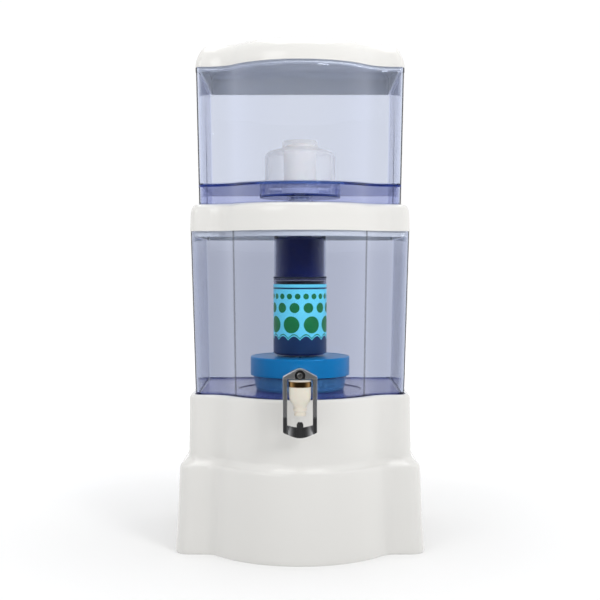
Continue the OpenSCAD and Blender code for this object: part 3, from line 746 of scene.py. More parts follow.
class Part:
    """A mesh in the making, in millimetres about the stack's axis."""

    def __init__(self, name: str) -> None:
        """Starts an empty mesh under the piece's name."""
        self.name = name
        self.bm = bmesh.new()

    # -- starting shapes

    def loft(self, levels: Sequence[Level]) -> "Part":
        """Draws a closed shell up and down over levels, from one flat end to the other.

        Args:
            levels: the rings, in the order of the path.

        Returns:
            The part itself.
        """
        path = eased(levels, TURN_STEPS, closed=False)
        first = FOOTPRINT.ring(path[0])
        lap = self.bm.verts.layers.int.new("lap")
        made = bmesh.ops.create_circle(self.bm, segments=len(first), radius=1.0)["verts"]
        for i, vert in enumerate(made):
            vert[lap], vert.co = i, first[i]
        edges = sorted({e for v in made for e in v.link_edges}, key=lambda e: e.index)
        bmesh.ops.contextual_create(self.bm, geom=edges)
        for numbers in path[1:]:
            grown = bmesh.ops.extrude_edge_only(self.bm, edges=edges)["geom"]
            verts = [g for g in grown if isinstance(g, bmesh.types.BMVert)]
            fresh = set(verts)
            kept = (g for g in grown if isinstance(g, bmesh.types.BMEdge))
            edges = [edge for edge in kept if set(edge.verts) <= fresh]
            ring = FOOTPRINT.ring(numbers)
            for vert in verts:
                vert.co = ring[vert[lap]]
        bmesh.ops.contextual_create(self.bm, geom=edges)
        return self.sealed()

    def turned(
        self, *turns: Turn, steps: int, ease: int = TURN_STEPS, sweep: float = 360.0
    ) -> "Part":
        """Spins a closed profile about the upright axis.

        Args:
            turns: the profile's corners; where it meets the axis its radius is 0.
            steps: how many pieces a whole turn has.
            ease: how many pieces a rounded corner has.
            sweep: the angle that it is spun through, in degrees.

        Returns:
            The part itself.
        """
        solid = turns[0].r == 0 and turns[-1].r == 0
        path = eased(turns, ease, closed=not solid)
        verts = [
            bmesh.ops.create_vert(self.bm, co=Vector((r, 0.0, z)))["vert"][0] for r, z in path
        ]
        pairs = list(zip(verts, verts[1:])) + ([] if solid else [(verts[-1], verts[0])])
        edges = [self.bm.edges.new(pair) for pair in pairs]
        whole = sweep >= 360.0
        start = verts + edges
        if not whole:
            start += bmesh.ops.contextual_create(self.bm, geom=edges)["faces"]
        bmesh.ops.spin(
            self.bm,
            geom=start,
            cent=(0, 0, 0),
            axis=(0, 0, 1),
            angle=math.radians(sweep),
            steps=steps,
            use_merge=whole,
        )
        return self.sealed()

    def block(self, low: Sequence[float], high: Sequence[float]) -> "Part":
        """Adds a box between two corners.

        Args:
            low: the lowest corner.
            high: the highest corner.

        Returns:
            The part itself.
        """
        size = Vector(high) - Vector(low)
        middle = (Vector(high) + Vector(low)) / 2
        shape = Matrix.Translation(middle) @ Matrix.Diagonal((*size, 1.0))
        bmesh.ops.create_cube(self.bm, size=1.0, matrix=shape)
        return self

    def rod(self, r: float, low: float, high: float, steps: int) -> "Part":
        """Adds an upright rod.

        Args:
            r: its radius.
            low: the height of its foot.
            high: the height of its top.
            steps: how many flats go round it.

        Returns:
            The part itself.
        """
        shape = Matrix.Translation((0, 0, (low + high) / 2))
        bmesh.ops.create_cone(
            self.bm,
            cap_ends=True,
            segments=steps,
            radius1=r,
            radius2=r,
            depth=high - low,
            matrix=shape,
        )
        return self

    @classmethod
    def of_node(cls, node: str, name: str) -> "Part":
        """A copy of a CAD node's mesh, merged into whole faces.

        Args:
            node: the node's name.
            name: the new piece's name.

        Returns:
            The copy, in millimetres about the axis.
        """
        part = cls(name)
        part.bm.from_mesh(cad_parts[node].data)
        to_axis = Matrix.Translation((0.0, -FRAME_Y, 0.0)) @ Matrix.Scale(1 / MM, 4)
        bmesh.ops.transform(part.bm, matrix=to_axis, verts=part.bm.verts)
        bmesh.ops.remove_doubles(part.bm, verts=part.bm.verts, dist=CAD_DOUBLES)
        bmesh.ops.dissolve_limit(
            part.bm, angle_limit=FLAT_ANGLE, verts=part.bm.verts, edges=part.bm.edges
        )
        return part

    # -- changes

    def sealed(self) -> "Part":
        """Merges doubles and turns every face outwards.

        Returns:
            The part itself.
        """
        bmesh.ops.remove_doubles(self.bm, verts=self.bm.verts, dist=DOUBLES)
        bmesh.ops.recalc_face_normals(self.bm, faces=self.bm.faces)
        return self

    def moved(self, x: float = 0.0, y: float = 0.0, z: float = 0.0) -> "Part":
        """Shifts the whole part."""
        bmesh.ops.translate(self.bm, verts=self.bm.verts, vec=(x, y, z))
        return self

    def tipped(self, degrees: float, axis: str) -> "Part":
        """Turns the whole part about an axis through the origin.

        Args:
            degrees: the angle.
            axis: X, Y or Z.

        Returns:
            The part itself.
        """
        turn = Matrix.Rotation(math.radians(degrees), 3, axis)
        bmesh.ops.rotate(self.bm, cent=(0, 0, 0), matrix=turn, verts=self.bm.verts)
        return self

    def bevelled(
        self,
        width: float,
        segments: int = 3,
        angle: float = 40.0,
        above: Optional[float] = None,
        longer: float = math.inf,
    ) -> "Part":
        """Rounds every edge that turns by more than an angle.

        Args:
            width: how wide the rounding is.
            segments: how many faces it has.
            angle: the least turn that is rounded, in degrees.
            above: the least height of an edge's middle; the width is then not held back.
            longer: the least length of an edge that is rounded at any height.

        Returns:
            The part itself.
        """
        limit = math.radians(angle)
        low = -math.inf if above is None else above
        edges = [
            e for e in self.bm.edges
            if len(e.link_faces) == 2 and e.calc_face_angle(0.0) > limit
            and ((e.verts[0].co.z + e.verts[1].co.z) / 2 > low or e.calc_length() > longer)
        ]
        bmesh.ops.bevel(
            self.bm,
            geom=edges,
            offset=width,
            affect="EDGES",
            segments=segments,
            profile=0.5,
            material=-1,
            clamp_overlap=above is None,
        )
        return self

    def raw(self) -> bpy.types.Object:
        """Makes the part a plain object, still in millimetres about the axis.

        Returns:
            The object; the part's own mesh is used up.
        """
        mesh = bpy.data.meshes.new(self.name)
        self.bm.to_mesh(mesh)
        self.bm.free()
        return placed(self.name, mesh)

    def cut(self, *tools: "Part") -> "Part":
        """Takes the tools' solids away from the part."""
        return self._combined(Join.CUT, tools)

    def fused(self, *tools: "Part") -> "Part":
        """Adds the tools' solids to the part."""
        return self._combined(Join.FUSE, tools)

    def _combined(self, join: Join, tools: Sequence["Part"]) -> "Part":
        """Runs one Boolean for each tool and takes the result back into the part.

        Args:
            join: whether they are taken away or added.
            tools: the other parts, which are used up.

        Returns:
            The part itself.
        """
        body = self.raw()
        others = [tool.raw() for tool in tools]
        for other in others:
            step = body.modifiers.new(join.value, "BOOLEAN")
            step.operation, step.solver, step.object = join.value, "EXACT", other
        graph = bpy.context.evaluated_depsgraph_get()
        result = bpy.data.meshes.new_from_object(body.evaluated_get(graph))
        self.bm = bmesh.new()
        self.bm.from_mesh(result)
        for made in (body, *others):
            mesh = made.data
            bpy.data.objects.remove(made)
            bpy.data.meshes.remove(mesh)
        bpy.data.meshes.remove(result)
        bmesh.ops.remove_doubles(self.bm, verts=self.bm.verts, dist=DOUBLES)
        bmesh.ops.dissolve_degenerate(self.bm, edges=self.bm.edges, dist=DOUBLES)
        return self


class Workshop:
    """Finishes parts: puts them into the row frame, dresses them and hangs them on a body."""

    def finish(
        self,
        part: Part,
        finish: Finish,
        body: str,
        replaces: Sequence[str] = (),
    ) -> bpy.types.Object:
        """Makes a part a piece of the model.

        Args:
            part: the mesh in millimetres about the axis; it is used up.
            finish: its finish.
            body: the CAD body that it rides on.
            replaces: the CAD nodes that it stands for.

        Returns:
            The finished object.
        """
        to_row = Matrix.Scale(MM, 4) @ Matrix.Translation((0.0, FRAME_Y, 0.0))
        bmesh.ops.transform(part.bm, matrix=to_row, verts=part.bm.verts)
        for edge in part.bm.edges:
            edge.smooth = edge.calc_face_angle(0.0) < SHARP_ANGLE
        for face in part.bm.faces:
            face.smooth = True
        made = part.raw()
        made.data.materials.append(finish.material())
        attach(made, body)
        if replaces:
            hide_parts(*replaces)
        LOG.info("%s: %d faces on %s", made.name, len(made.data.polygons), body)
        return made

    def redress(self, finish: Finish, *nodes: str) -> None:
        """Gives CAD nodes another finish, with their meshes left alone.

        Args:
            finish: their finish.
            nodes: the nodes' names.
        """
        for node in nodes:
            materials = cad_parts[node].data.materials
            materials.clear()
            materials.append(finish.material())
            LOG.info("%s: CAD mesh, finish %s", node, finish.name)


SHOP = Workshop()


# ---------------------------------------------------------------- the filter's finishes


def srgb(red: float, green: float, blue: float) -> Colour:
    """A colour as a screen shows it, from 0 to 255, in the renderer's linear numbers."""
    shown = (red / 255, green / 255, blue / 255)
    return tuple(c / 12.92 if c <= 0.04045 else ((c + 0.055) / 1.055) ** 2.4 for c in shown)


class Body(Enum):
    """The CAD bodies that pieces ride on."""

    PEDESTAL = "pedestal"
    LOWER_TANK = "lower_tank"
    LEVER = "lever"
    VALVE = "valve"
    MID_LID = "mid_lid"
    UPPER_TANK = "upper_tank"
    CANDLE_COVER = "candle_cover"
    UPPER_LID = "upper_lid"


WHITE = Moulded("white_moulding", "white_moulding", srgb(221, 220, 217), rough=0.24, coat=0.7)
CREAM = Moulded("cream_plastic", "cream_plastic", srgb(214, 208, 195), rough=0.3, glow=0.1)
WHITE_PLASTIC = Moulded("white_plastic", "white_plastic", srgb(195, 191, 183), rough=0.32)
NAVY = Moulded("navy_plastic", "navy_plastic", srgb(0, 34, 110), rough=0.4, gloss=0.35)
BLACK = Moulded("black_plastic", "black_plastic", srgb(24, 24, 26), rough=0.42)
BLUE_CAP = Moulded("blue_cap", "blue_cap", srgb(0, 128, 182), rough=0.34, gloss=0.2)
SEAL = Rubber("seal_rubber", "seal_rubber", srgb(38, 44, 60))
PALE_SEAL = Rubber("seal_silicone", "seal_rubber", srgb(196, 200, 214))
# chrome_lever carries a painted reflection on its arms and yoke.
CHROME = Metal("chrome_lever", "chrome_lever", srgb(205, 206, 208), rough=0.2, marks=0.06,
               satin=0.13, reflection_from=0.206)
STEEL = Metal("steel", "steel", srgb(200, 200, 200), rough=0.28, marks=0.16)
BRONZE = Metal("bronze_ring", "bronze_ring", srgb(168, 132, 84), rough=0.12, marks=0.06)
# inner_white and ceramic glow a little: painted light where little light reaches inside the upper
# tank.
INNER_WHITE = Moulded("inner_white", "white_plastic", srgb(232, 230, 230), rough=0.4, painted_glow=0.1)
CERAMIC = Ceramic("ceramic", "ceramic", srgb(238, 231, 220), painted_glow=0.08)
STONES = Pebble("stones", "stones", srgb(196, 184, 164), second=srgb(120, 104, 88))
CARBON = Granules("carbon", "carbon", srgb(22, 22, 23), second=srgb(48, 48, 50), cell=0.0016)
RESIN = Granules("resin_beads", "resin_beads", srgb(176, 104, 42), second=srgb(214, 150, 82),
                 cell=0.0009, rough=0.35)
MINERAL = Granules("mineral_sand", "mineral_sand", srgb(196, 176, 140),
                   second=srgb(228, 214, 188), cell=0.0013)
FELT = Felt("screen", "screen", srgb(232, 230, 224))
# Below their set heights both tanks carry painted shade in the floor and skirt.
UPPER_CLEAR = Clear("clear_tank_upper", "clear_tank", (0.98, 0.98, 0.995),
                    depth_tint=(0.06, 0.36, 0.8), density=23.0, rim=(0.7, 0.72, 0.93),
                    foot_shade=(0.8, 0.81, 0.94), shade_below=0.5215)
# The lower tank also carries painted dark crease lines down its front wall.
LOWER_CLEAR = Clear("clear_tank_lower", "clear_tank", (0.98, 0.98, 0.995),
                    depth_tint=(0.06, 0.34, 0.8), density=25.0, rim=(0.94, 0.95, 0.99),
                    edge=(0.07, 0.07, 0.22),
                    foot_shade=(0.7, 0.72, 0.88), shade_below=0.2225, shade_share=0.6,
                    painted_creases=((-0.0935, -0.09, 0.95), (0.0935, 0.09, 0.95), (0.117, 0.1165, 0.5)))
SMOKY = Clear("smoky_clear", "smoky_clear", srgb(225, 226, 240),
              depth_tint=(0.3, 0.3, 0.5), density=120.0, rough=0.1)
SLEEVE = Clear("cap_sleeve", "smoky_clear", srgb(232, 235, 246),
               depth_tint=(0.4, 0.45, 0.6), density=60.0)
BOWL_CLEAR = Clear("blue_clear", "blue_clear", srgb(150, 196, 232),
                   depth_tint=(0.12, 0.5, 0.8), density=25.0, rough=0.2, milk=0.35,
                   edge=(0.12, 0.34, 0.6))
# frosted_clear keeps its class's faint painted glow.
FROSTED = Frosted("frosted_clear", "frosted_clear", srgb(250, 244, 234), veil=0.16)


@dataclass(frozen=True)
class LabelPrint(Finish):
    """A plain printed band: bubbles over a light ground between dark and green borders.

    The colours are brighter than print, to look right through the tinted tank.
    """

    dark: Colour = srgb(0, 48, 92)
    green: Colour = srgb(0, 128, 62)
    low: float = 0.277
    high: float = 0.380
    radius: float = 0.04
    crisp: float = 0.0001
    scallop_pitch: float = 0.018
    scallop_rise: float = 0.006
    foot_rise: float = 0.02
    foot_step: float = 0.0002
    rule_rise: float = 0.0225
    rule_half: float = 0.0008
    line_drop: float = 0.006
    line_half: float = 0.0012
    rows: tuple[tuple[float, float, float], ...] = (
        (0.043, 0.0125, 0.0314), (0.068, 0.0075, 0.02093), (0.085, 0.0042, 0.01257),
    )

    def dress(self, shader: Shader) -> None:
        """Height and the angle about the axis lay out the print.

        Args:
            shader: the finish's empty tree.
        """
        parts = shader.node("SeparateXYZ", {}, {0: shader.place()}, out="X")
        east, north, up = parts, parts["Y"] - FRAME_Y * MM, parts["Z"]
        turn = shader.node("Math", {"operation": "ARCTAN2"}, {0: east, 1: 0 - north})
        across = turn * self.radius
        ground = shader.mix(up.eased(self.low, self.high), self.shaded(0.9), self.colour)
        bubbles = self._bubbles(shader, across, up)
        print_ = shader.mix(bubbles, ground, self.green)
        scallop = (across * (math.pi / self.scallop_pitch)).sine().size() * self.scallop_rise
        foot_z, step = self.low + self.foot_rise, self.foot_step
        foot = (up - scallop).eased(foot_z + step, foot_z - step)
        rule = self._band(up - scallop, self.low + self.rule_rise, self.rule_half)
        print_ = shader.mix(foot, print_, self.dark)
        print_ = shader.mix(rule, print_, self.green)
        line = self._band(up, self.high - self.line_drop, self.line_half)
        print_ = shader.mix(line, print_, self.dark)
        fibre = shader.noise(900.0, 2.0)
        shader.surface({
            "Base Color": shader.mix(fibre * 0.1, print_, (0.0, 0.0, 0.0)),
            "Roughness": 0.32 + fibre * 0.12,
            "Normal": shader.bump(fibre, 0.00003),
        })

    def _band(self, height: Value, middle: float, half: float) -> Value:
        """1 within half of a height, else 0, with a crisp soft edge."""
        return (height - middle).size().eased(half + self.crisp, half - self.crisp)

    def _bubbles(self, shader: Shader, across: Value, up: Value) -> Value:
        """Rows of round bubbles, each row smaller than the one below.

        Args:
            shader: the tree.
            across: arc length round the label.
            up: height.

        Returns:
            1 inside a bubble, else 0.
        """
        mask: Optional[Value] = None
        for height, r, pitch in self.rows:
            along = (across + 0.5) % pitch - pitch / 2
            rise = up - (self.low + height)
            reach = shader.node("Math", {"operation": "SQRT"}, {0: along * along + rise * rise})
            spot = reach.eased(r + self.crisp, r - self.crisp)
            mask = spot if mask is None else mask.top(spot)
        return mask


LABEL = LabelPrint("label", "label", srgb(116, 236, 255))


# ---------------------------------------------------------------- sub-assemblies


@dataclass
class Pedestal:
    """The white pedestal: a wide lower block, a shoulder and an upper block with a seat."""

    height: float = 223.0
    step: float = 125.0
    shoulder: float = 10.0
    deck: float = 208.0
    wall: float = 4.0
    foot_out: float = 20.3
    step_out: float = 14.6
    plinth_out: float = 1.6
    corner: float = 20.0
    edge: float = 5.0
    seat_in: float = -6.072
    seat_corner: float = 12.0

    def build(self) -> None:
        """One shell, from the deck's underside out over the foot and up to the seat."""
        rc, wall, top = self.corner, self.wall, self.height
        inner = rc - wall
        levels = [
            Level(self.deck - wall, self.plinth_out - wall, inner - 4),
            Level(self.step + self.shoulder, self.plinth_out - wall, inner - 4),
            Level(self.step - wall, self.step_out - wall - self.edge, inner),
            Level(self.edge, self.foot_out - wall - 1, inner),
            Level(0.0, self.foot_out - wall - 1, inner),
            Level(0.0, self.foot_out - 1.4, rc - 1, soft=0.4),
            Level(1.5, self.foot_out - 0.3, rc, soft=1.2),
            Level(self.edge, self.foot_out, rc, soft=1.5),
            Level(self.edge + 20, self.foot_out - 1.6, rc, soft=6),
            Level(self.edge + 35, self.foot_out - 2.6, rc, soft=6),
            Level(self.step - 6, self.step_out, rc, soft=3),
            Level(self.step - 2.5, self.step_out - 0.7, rc, soft=1.5),
            Level(self.step, self.step_out - 2.6, rc - 1, soft=1.4),
            Level(self.step + 1.8, self.step_out - 5.6, rc - 2, soft=1.6),
            Level(self.step + self.shoulder - 3.5, self.plinth_out + 3, rc - 3, soft=2.5),
            Level(self.step + self.shoulder - 1, self.plinth_out + 1.2, rc - 4, soft=1.5),
            Level(self.step + self.shoulder + 2.5, self.plinth_out + 0.6, rc - 4, soft=2),
            Level(top - 6, self.plinth_out, rc - 4, soft=3),
            Level(top - 2.2, self.plinth_out - 0.8, rc - 5, soft=1.2),
            Level(top - 0.5, self.plinth_out - 2.4, rc - 6, soft=0.9),
            Level(top, self.plinth_out - 4, rc - 7, soft=0.8),
            Level(top, self.seat_in + 0.8, self.seat_corner, soft=0.5),
            Level(top - 1, self.seat_in, self.seat_corner, soft=0.5),
            Level(self.deck, self.seat_in, self.seat_corner),
        ]
        shell = Part("pedestal_shell").loft(levels)
        SHOP.finish(shell, WHITE, Body.PEDESTAL.value, ["base_shell"])


@dataclass
class LowerTank:
    """The clear lower tank: drafted wall, sunken disc, tap pad and two stand bosses."""

    deck: float = 208.0
    rim: float = 457.0
    draft: float = 7.1
    height: float = 249.0
    wall: float = 3.5
    skirt: float = 9.0
    floor: float = 5.0
    corner: float = 12.0
    disc_r: float = 93.0
    disc_depth: float = 1.2
    boss_x: float = 103.0
    boss_r: float = 5.0
    pad_r: float = 15.5
    pad_front: float = -155.684
    pad_back: float = -148.384
    tap_z: float = 239.0
    bore_r: float = 8.3

    def out(self, z: float) -> float:
        """The outer wall's growth at a height."""
        return -self.draft * (self.rim - z) / self.height

    def build(self) -> None:
        """The drafted shell, then its pad and bosses, then its disc and tap hole."""
        rc, w, deck = self.corner, self.wall, self.deck
        top_of_floor = deck + self.skirt + self.floor
        under = deck + self.skirt
        levels = [
            Level(under, self.out(under) - w, rc - w),
            Level(deck, self.out(deck) - w, rc - w, soft=0.8),
            Level(deck, self.out(deck) - 0.6, rc - 0.6, soft=0.5),
            Level(deck + 1, self.out(deck + 1), rc, soft=0.5),
            Level(self.rim, 0.0, rc, soft=0.9),
            Level(self.rim, -w, rc - w, soft=0.9),
            Level(top_of_floor + 3, self.out(top_of_floor) - w, rc - w, soft=2.0),
            Level(top_of_floor, self.out(top_of_floor) - w - 2, rc - w, soft=1.5),
            Level(top_of_floor, self.out(top_of_floor) - w - 8, rc - w - 4),
        ]
        tank = Part("lower_tank_shell").loft(levels)
        depth = self.pad_back - self.pad_front
        pad = Part("pad").turned(
            Turn(0, 0), Turn(self.pad_r, 0, 0.8), Turn(self.pad_r, depth, 0.8), Turn(0, depth),
            steps=64,
        )
        pad.tipped(-90, "X").moved(0, self.pad_front, self.tap_z)
        bosses = [
            Part("boss").rod(self.boss_r, deck + 0.2, under + 2.0, 32).moved(x=side * self.boss_x)
            for side in (-1, 1)
        ]
        tank.fused(pad, *bosses)
        disc = Part("disc").rod(self.disc_r, top_of_floor - self.disc_depth, top_of_floor + 2, 160)
        bore = Part("bore").rod(self.bore_r, -4.0, depth + 4.0, 48)
        bore.tipped(-90, "X").moved(0, self.pad_front, self.tap_z)
        tank.cut(disc, bore)
        SHOP.finish(tank, LOWER_CLEAR, Body.LOWER_TANK.value, ["lower_tank"])


@dataclass
class MineralBox:
    """The round box of stones on the tank's floor: a clear bowl under a blue cap."""

    foot: float = 220.8
    height: float = 50.8
    cap_r: float = 75.0
    cap_height: float = 28.0
    cap_gap: float = 0.8
    flare: float = 1.0
    foot_r: float = 66.4
    wall: float = 2.2
    floor: float = 3.0
    stone_r: float = 8.0
    stone_gap: float = 0.7
    worn_faces: int = 7
    worn_depth: tuple[float, float] = (0.72, 0.92)
    wear: float = 0.8
    slots: int = 12
    slot_half: float = 1.5
    slot_round: float = 1.2
    bowl_slot: tuple[float, float] = (14.0, 46.0)
    cap_slot: tuple[float, float] = (10.0, 34.0)
    seed: int = 7

    def build(self) -> None:
        """The bowl, the cap and the stones."""
        self._bowl()
        self._cap()
        self._stones()

    def _slots(self, r0: float, r1: float, z0: float, z1: float) -> list[Part]:
        """Makes radial slot cutters through a floor or a top.

        Args:
            r0: where a slot starts, from the axis.
            r1: where it ends.
            z0: the cutters' foot.
            z1: their top.

        Returns:
            The cutters.
        """
        cutters = []
        for i in range(self.slots):
            cutter = Part("slot").block((r0, -self.slot_half, z0), (r1, self.slot_half, z1))
            cutters.append(cutter.bevelled(self.slot_round, 3).tipped(360 * i / self.slots, "Z"))
        return cutters

    def _bowl(self) -> None:
        """A slightly flared bowl with slots in its floor."""
        rim_r = self.cap_r - self.wall - self.cap_gap
        neck_r = rim_r - self.flare
        z, w = self.foot, self.wall
        open_z = z + self.height - self.cap_height
        rim_z = z + self.height - self.floor
        bowl = Part("mineral_bowl").turned(
            Turn(0, z),
            Turn(self.foot_r, z, 2.4),
            Turn(neck_r, open_z, 1.5),
            Turn(rim_r, rim_z, 0.6),
            Turn(rim_r - w, rim_z, 0.6),
            Turn(neck_r - w, open_z, 1.5),
            Turn(self.foot_r - w, z + self.floor, 3.0),
            Turn(0, z + self.floor),
            steps=128,
        )
        bowl.cut(*self._slots(*self.bowl_slot, z - 1, z + self.floor + 1))
        SHOP.finish(bowl, BOWL_CLEAR, Body.LOWER_TANK.value, ["mineral_box_bowl"])

    def _cap(self) -> None:
        """A deep cap with a soft rim and slots in its top."""
        low = self.foot + self.height - self.cap_height
        top = self.foot + self.height
        inner = self.cap_r - self.wall
        cap = Part("mineral_cap").turned(
            Turn(0, top - self.floor),
            Turn(inner, top - self.floor, 1.5),
            Turn(inner, low, 0.5),
            Turn(self.cap_r, low, 0.8),
            Turn(self.cap_r, top, 2.2),
            Turn(self.cap_r - 5, top, 0.4),
            Turn(self.cap_r - 6, top - 0.6, 0.4),
            Turn(0, top - 0.6),
            steps=128,
        )
        cap.cut(*self._slots(*self.cap_slot, top - self.floor - 1, top + 1))
        SHOP.finish(cap, BLUE_CAP, Body.LOWER_TANK.value, ["mineral_box_cap"])

    def _stones(self) -> None:
        """One layer of worn stones, each turned, sized and toned at random."""
        draw = random.Random(self.seed)
        stones = Part("mineral_stones_worn")
        tone = stones.bm.verts.layers.float.new("tone")
        pitch = 2 * self.stone_r + self.stone_gap
        rings = int((self.foot_r - self.wall - 3 - self.stone_r) / pitch)
        for i in range(-rings, rings + 1):
            for j in range(-rings, rings + 1):
                if abs(i + j) > rings:
                    continue
                place = Vector((pitch * (i + j / 2), pitch * j * math.sqrt(3) / 2, 0.0))
                self._stone(stones, tone, place, draw)
        stones.moved(z=self.foot + self.floor + self.stone_r)
        SHOP.finish(stones, STONES, Body.LOWER_TANK.value, ["mineral_stones"])

    def _stone(self, stones: Part, tone: object, place: Vector, draw: random.Random) -> None:
        """One stone: a ball pushed in along a few directions.

        Args:
            stones: the part that it joins.
            tone: the layer that holds each stone's tone.
            place: its middle.
            draw: the random source.
        """
        made = bmesh.ops.create_icosphere(stones.bm, subdivisions=3, radius=self.stone_r)["verts"]
        shade = draw.random()
        flats = [
            (
                Vector([draw.gauss(0, 1) for _ in range(3)]).normalized(),
                draw.uniform(*self.worn_depth),
            )
            for _ in range(self.worn_faces)
        ]
        for vert in made:
            vert[tone] = shade
            for facing, depth in flats:
                over = vert.co.dot(facing) - depth * self.stone_r
                if over > 0:
                    vert.co -= facing * over * self.wear
        bmesh.ops.smooth_vert(stones.bm, verts=made, factor=0.5)
        bmesh.ops.translate(stones.bm, verts=made, vec=place)


@dataclass
class Tap:
    """The push-back tap: cream body, bronze ring, white bonnet, chrome lever and its valve."""

    soft: float = 0.12
    paddle_top: float = 222.0
    arm_long: float = 20.0
    spring_keep: float = 0.92

    def build(self) -> None:
        """Softer copies of the moulded and cast pieces, and finishes for the small turned ones."""
        lower, lever = Body.LOWER_TANK.value, Body.LEVER.value
        self._softened("tap_body", "tap_body_moulded", CREAM, lower, 0.5, 50.0)
        self._softened("bonnet_cap", "bonnet_cap_moulded", WHITE_PLASTIC, lower, 0.35, 40.0)
        self._softened("bonnet_ring", "bonnet_ring_plated", BRONZE, lower, 0.7, 40.0)
        plated = Part.of_node("tap_lever", "tap_lever_plated")
        plated.bevelled(0.9, 3, 35.0, self.paddle_top, self.arm_long).bevelled(0.4, 2, 35.0)
        SHOP.finish(plated, CHROME, lever, ["tap_lever"])
        self._softened("lever_block", "lever_block_moulded", BLACK, lever, 0.3, 40.0)
        self._softened("lever_washer", "lever_washer_moulded", BLACK, lever, self.soft, 40.0)
        self._softened("lever_screw", "lever_screw_steel", STEEL, lever, self.soft, 35.0)
        self._softened("shank_nut", "shank_nut_moulded", CREAM, lower, 0.6, 40.0)
        SHOP.redress(SEAL, "shank_washer_outer", "shank_washer_inner", "valve_seal")
        SHOP.redress(STEEL, "lever_pin")
        SHOP.redress(WHITE_PLASTIC, "valve_stem")
        self._spring()

    def _spring(self) -> None:
        """The return spring, copied onto its own mesh; nothing here shortens it as the stem rises.
        """
        coil = Part.of_node("valve_spring", "valve_spring_wire")
        wire = SHOP.finish(coil, STEEL, Body.LOWER_TANK.value, ["valve_spring"])
        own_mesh(wire)

    @staticmethod
    def _softened(
        node: str, name: str, finish: Finish, body: str, width: float, angle: float
    ) -> None:
        """Replaces a node by a copy whose turns of angle or more are rounded by width."""
        copy = Part.of_node(node, name).bevelled(width, 3, angle)
        SHOP.finish(copy, finish, body, [node])


@dataclass
class MiddleLid:
    """The white lid between the tanks, with the upper tank's seat in its top."""

    rim: float = 457.0
    top: float = 496.0
    seat: float = 491.0
    wall: float = 3.5
    lip_depth: float = 8.0
    lip_out: float = -3.9
    corner: float = 12.0
    seat_out: float = -11.29
    hole_r: float = 42.0

    def build(self) -> None:
        """One shell with the cartridge's hole through its deck."""
        rc, w, rim, lip = self.corner, self.wall, self.rim, self.lip_out
        inner = rc - 2 * w
        levels = [
            Level(self.seat - w, lip - w, inner),
            Level(rim - self.lip_depth, lip - w, inner, soft=0.8),
            Level(rim - self.lip_depth, lip, rc - w, soft=0.8),
            Level(rim, lip, rc - w),
            Level(rim, 0.5, rc, soft=0.4),
            Level(rim + 1, 0.8, rc, soft=0.6),
            Level(rim + 26, 0.0, rc, soft=6),
            Level(rim + 32, -1.0, rc, soft=3),
            Level(self.top - 3, -3.0, rc, soft=1.8),
            Level(self.top - 0.8, -5.6, rc - 1, soft=1.2),
            Level(self.top, -8.0, rc - 1.5, soft=1.0),
            Level(self.top, self.seat_out + 1, rc - 3, soft=0.4),
            Level(self.seat, self.seat_out + 1, rc - 3),
        ]
        lid = Part("mid_lid_shell").loft(levels)
        lid.cut(Part("hole").rod(self.hole_r, self.seat - w - 2, self.seat + 2, 96))
        SHOP.finish(lid, WHITE, Body.MID_LID.value, ["mid_lid"])


@dataclass
class UpperTank:
    """The clear upper tank: beaded foot and rim, a raised floor and the candle's well."""

    foot: float = 491.0
    rim: float = 693.0
    inset: float = 6.9
    draft: float = 4.5
    height: float = 202.0
    wall: float = 3.5
    floor_top: float = 525.0
    floor: float = 3.5
    bead: float = 0.5
    foot_bead: float = 5.0
    rim_bead: float = 6.0
    bead_step: float = 1.0
    corner: float = 10.0
    well_r: float = 61.5
    well_drop: float = 12.0
    stem_hole_r: float = 8.4

    def out(self, z: float) -> float:
        """The outer wall's growth at a height."""
        return -self.inset - self.draft * (self.rim - z) / self.height

    def build(self) -> None:
        """The drafted shell with the well hung through its floor."""
        rc, w, foot, rim, bead = self.corner, self.wall, self.foot, self.rim, self.bead
        under = self.floor_top - self.floor
        above, below = foot + self.foot_bead, rim - self.rim_bead
        higher, lower = above + self.bead_step, below - self.bead_step
        levels = [
            Level(under, self.out(under) - w, rc - w),
            Level(foot, self.out(foot) - w, rc - w, soft=0.8),
            Level(foot, self.out(foot) + bead, rc, soft=0.7),
            Level(above, self.out(above) + bead, rc, soft=0.5),
            Level(higher, self.out(higher), rc, soft=0.5),
            Level(lower, self.out(lower), rc, soft=0.5),
            Level(below, self.out(below) + bead, rc, soft=0.5),
            Level(rim, self.out(rim) + bead, rc, soft=0.8),
            Level(rim, self.out(rim) - w, rc - w, soft=0.8),
            Level(self.floor_top, self.out(self.floor_top) - w, rc - w, soft=1.6),
            Level(self.floor_top, self.out(self.floor_top) - w - 6, rc - w - 3),
        ]
        tank = Part("upper_tank_shell").loft(levels)
        well_z = self.floor_top - self.well_drop
        r, drop = self.well_r, well_z - self.floor
        well = Part("well").turned(
            Turn(0, drop), Turn(r, drop, 1.4), Turn(r, under + 1.5), Turn(0, under + 1.5), steps=160
        )
        hollow = Part("hollow").turned(
            Turn(0, well_z),
            Turn(r - w, well_z, 1.2),
            Turn(r - w, self.floor_top + 2),
            Turn(0, self.floor_top + 2),
            steps=160,
        )
        hole = Part("hole").rod(self.stem_hole_r, drop - 2, well_z + 2, 48)
        tank.fused(well).cut(hollow, hole)
        SHOP.finish(tank, UPPER_CLEAR, Body.UPPER_TANK.value, ["upper_tank"])


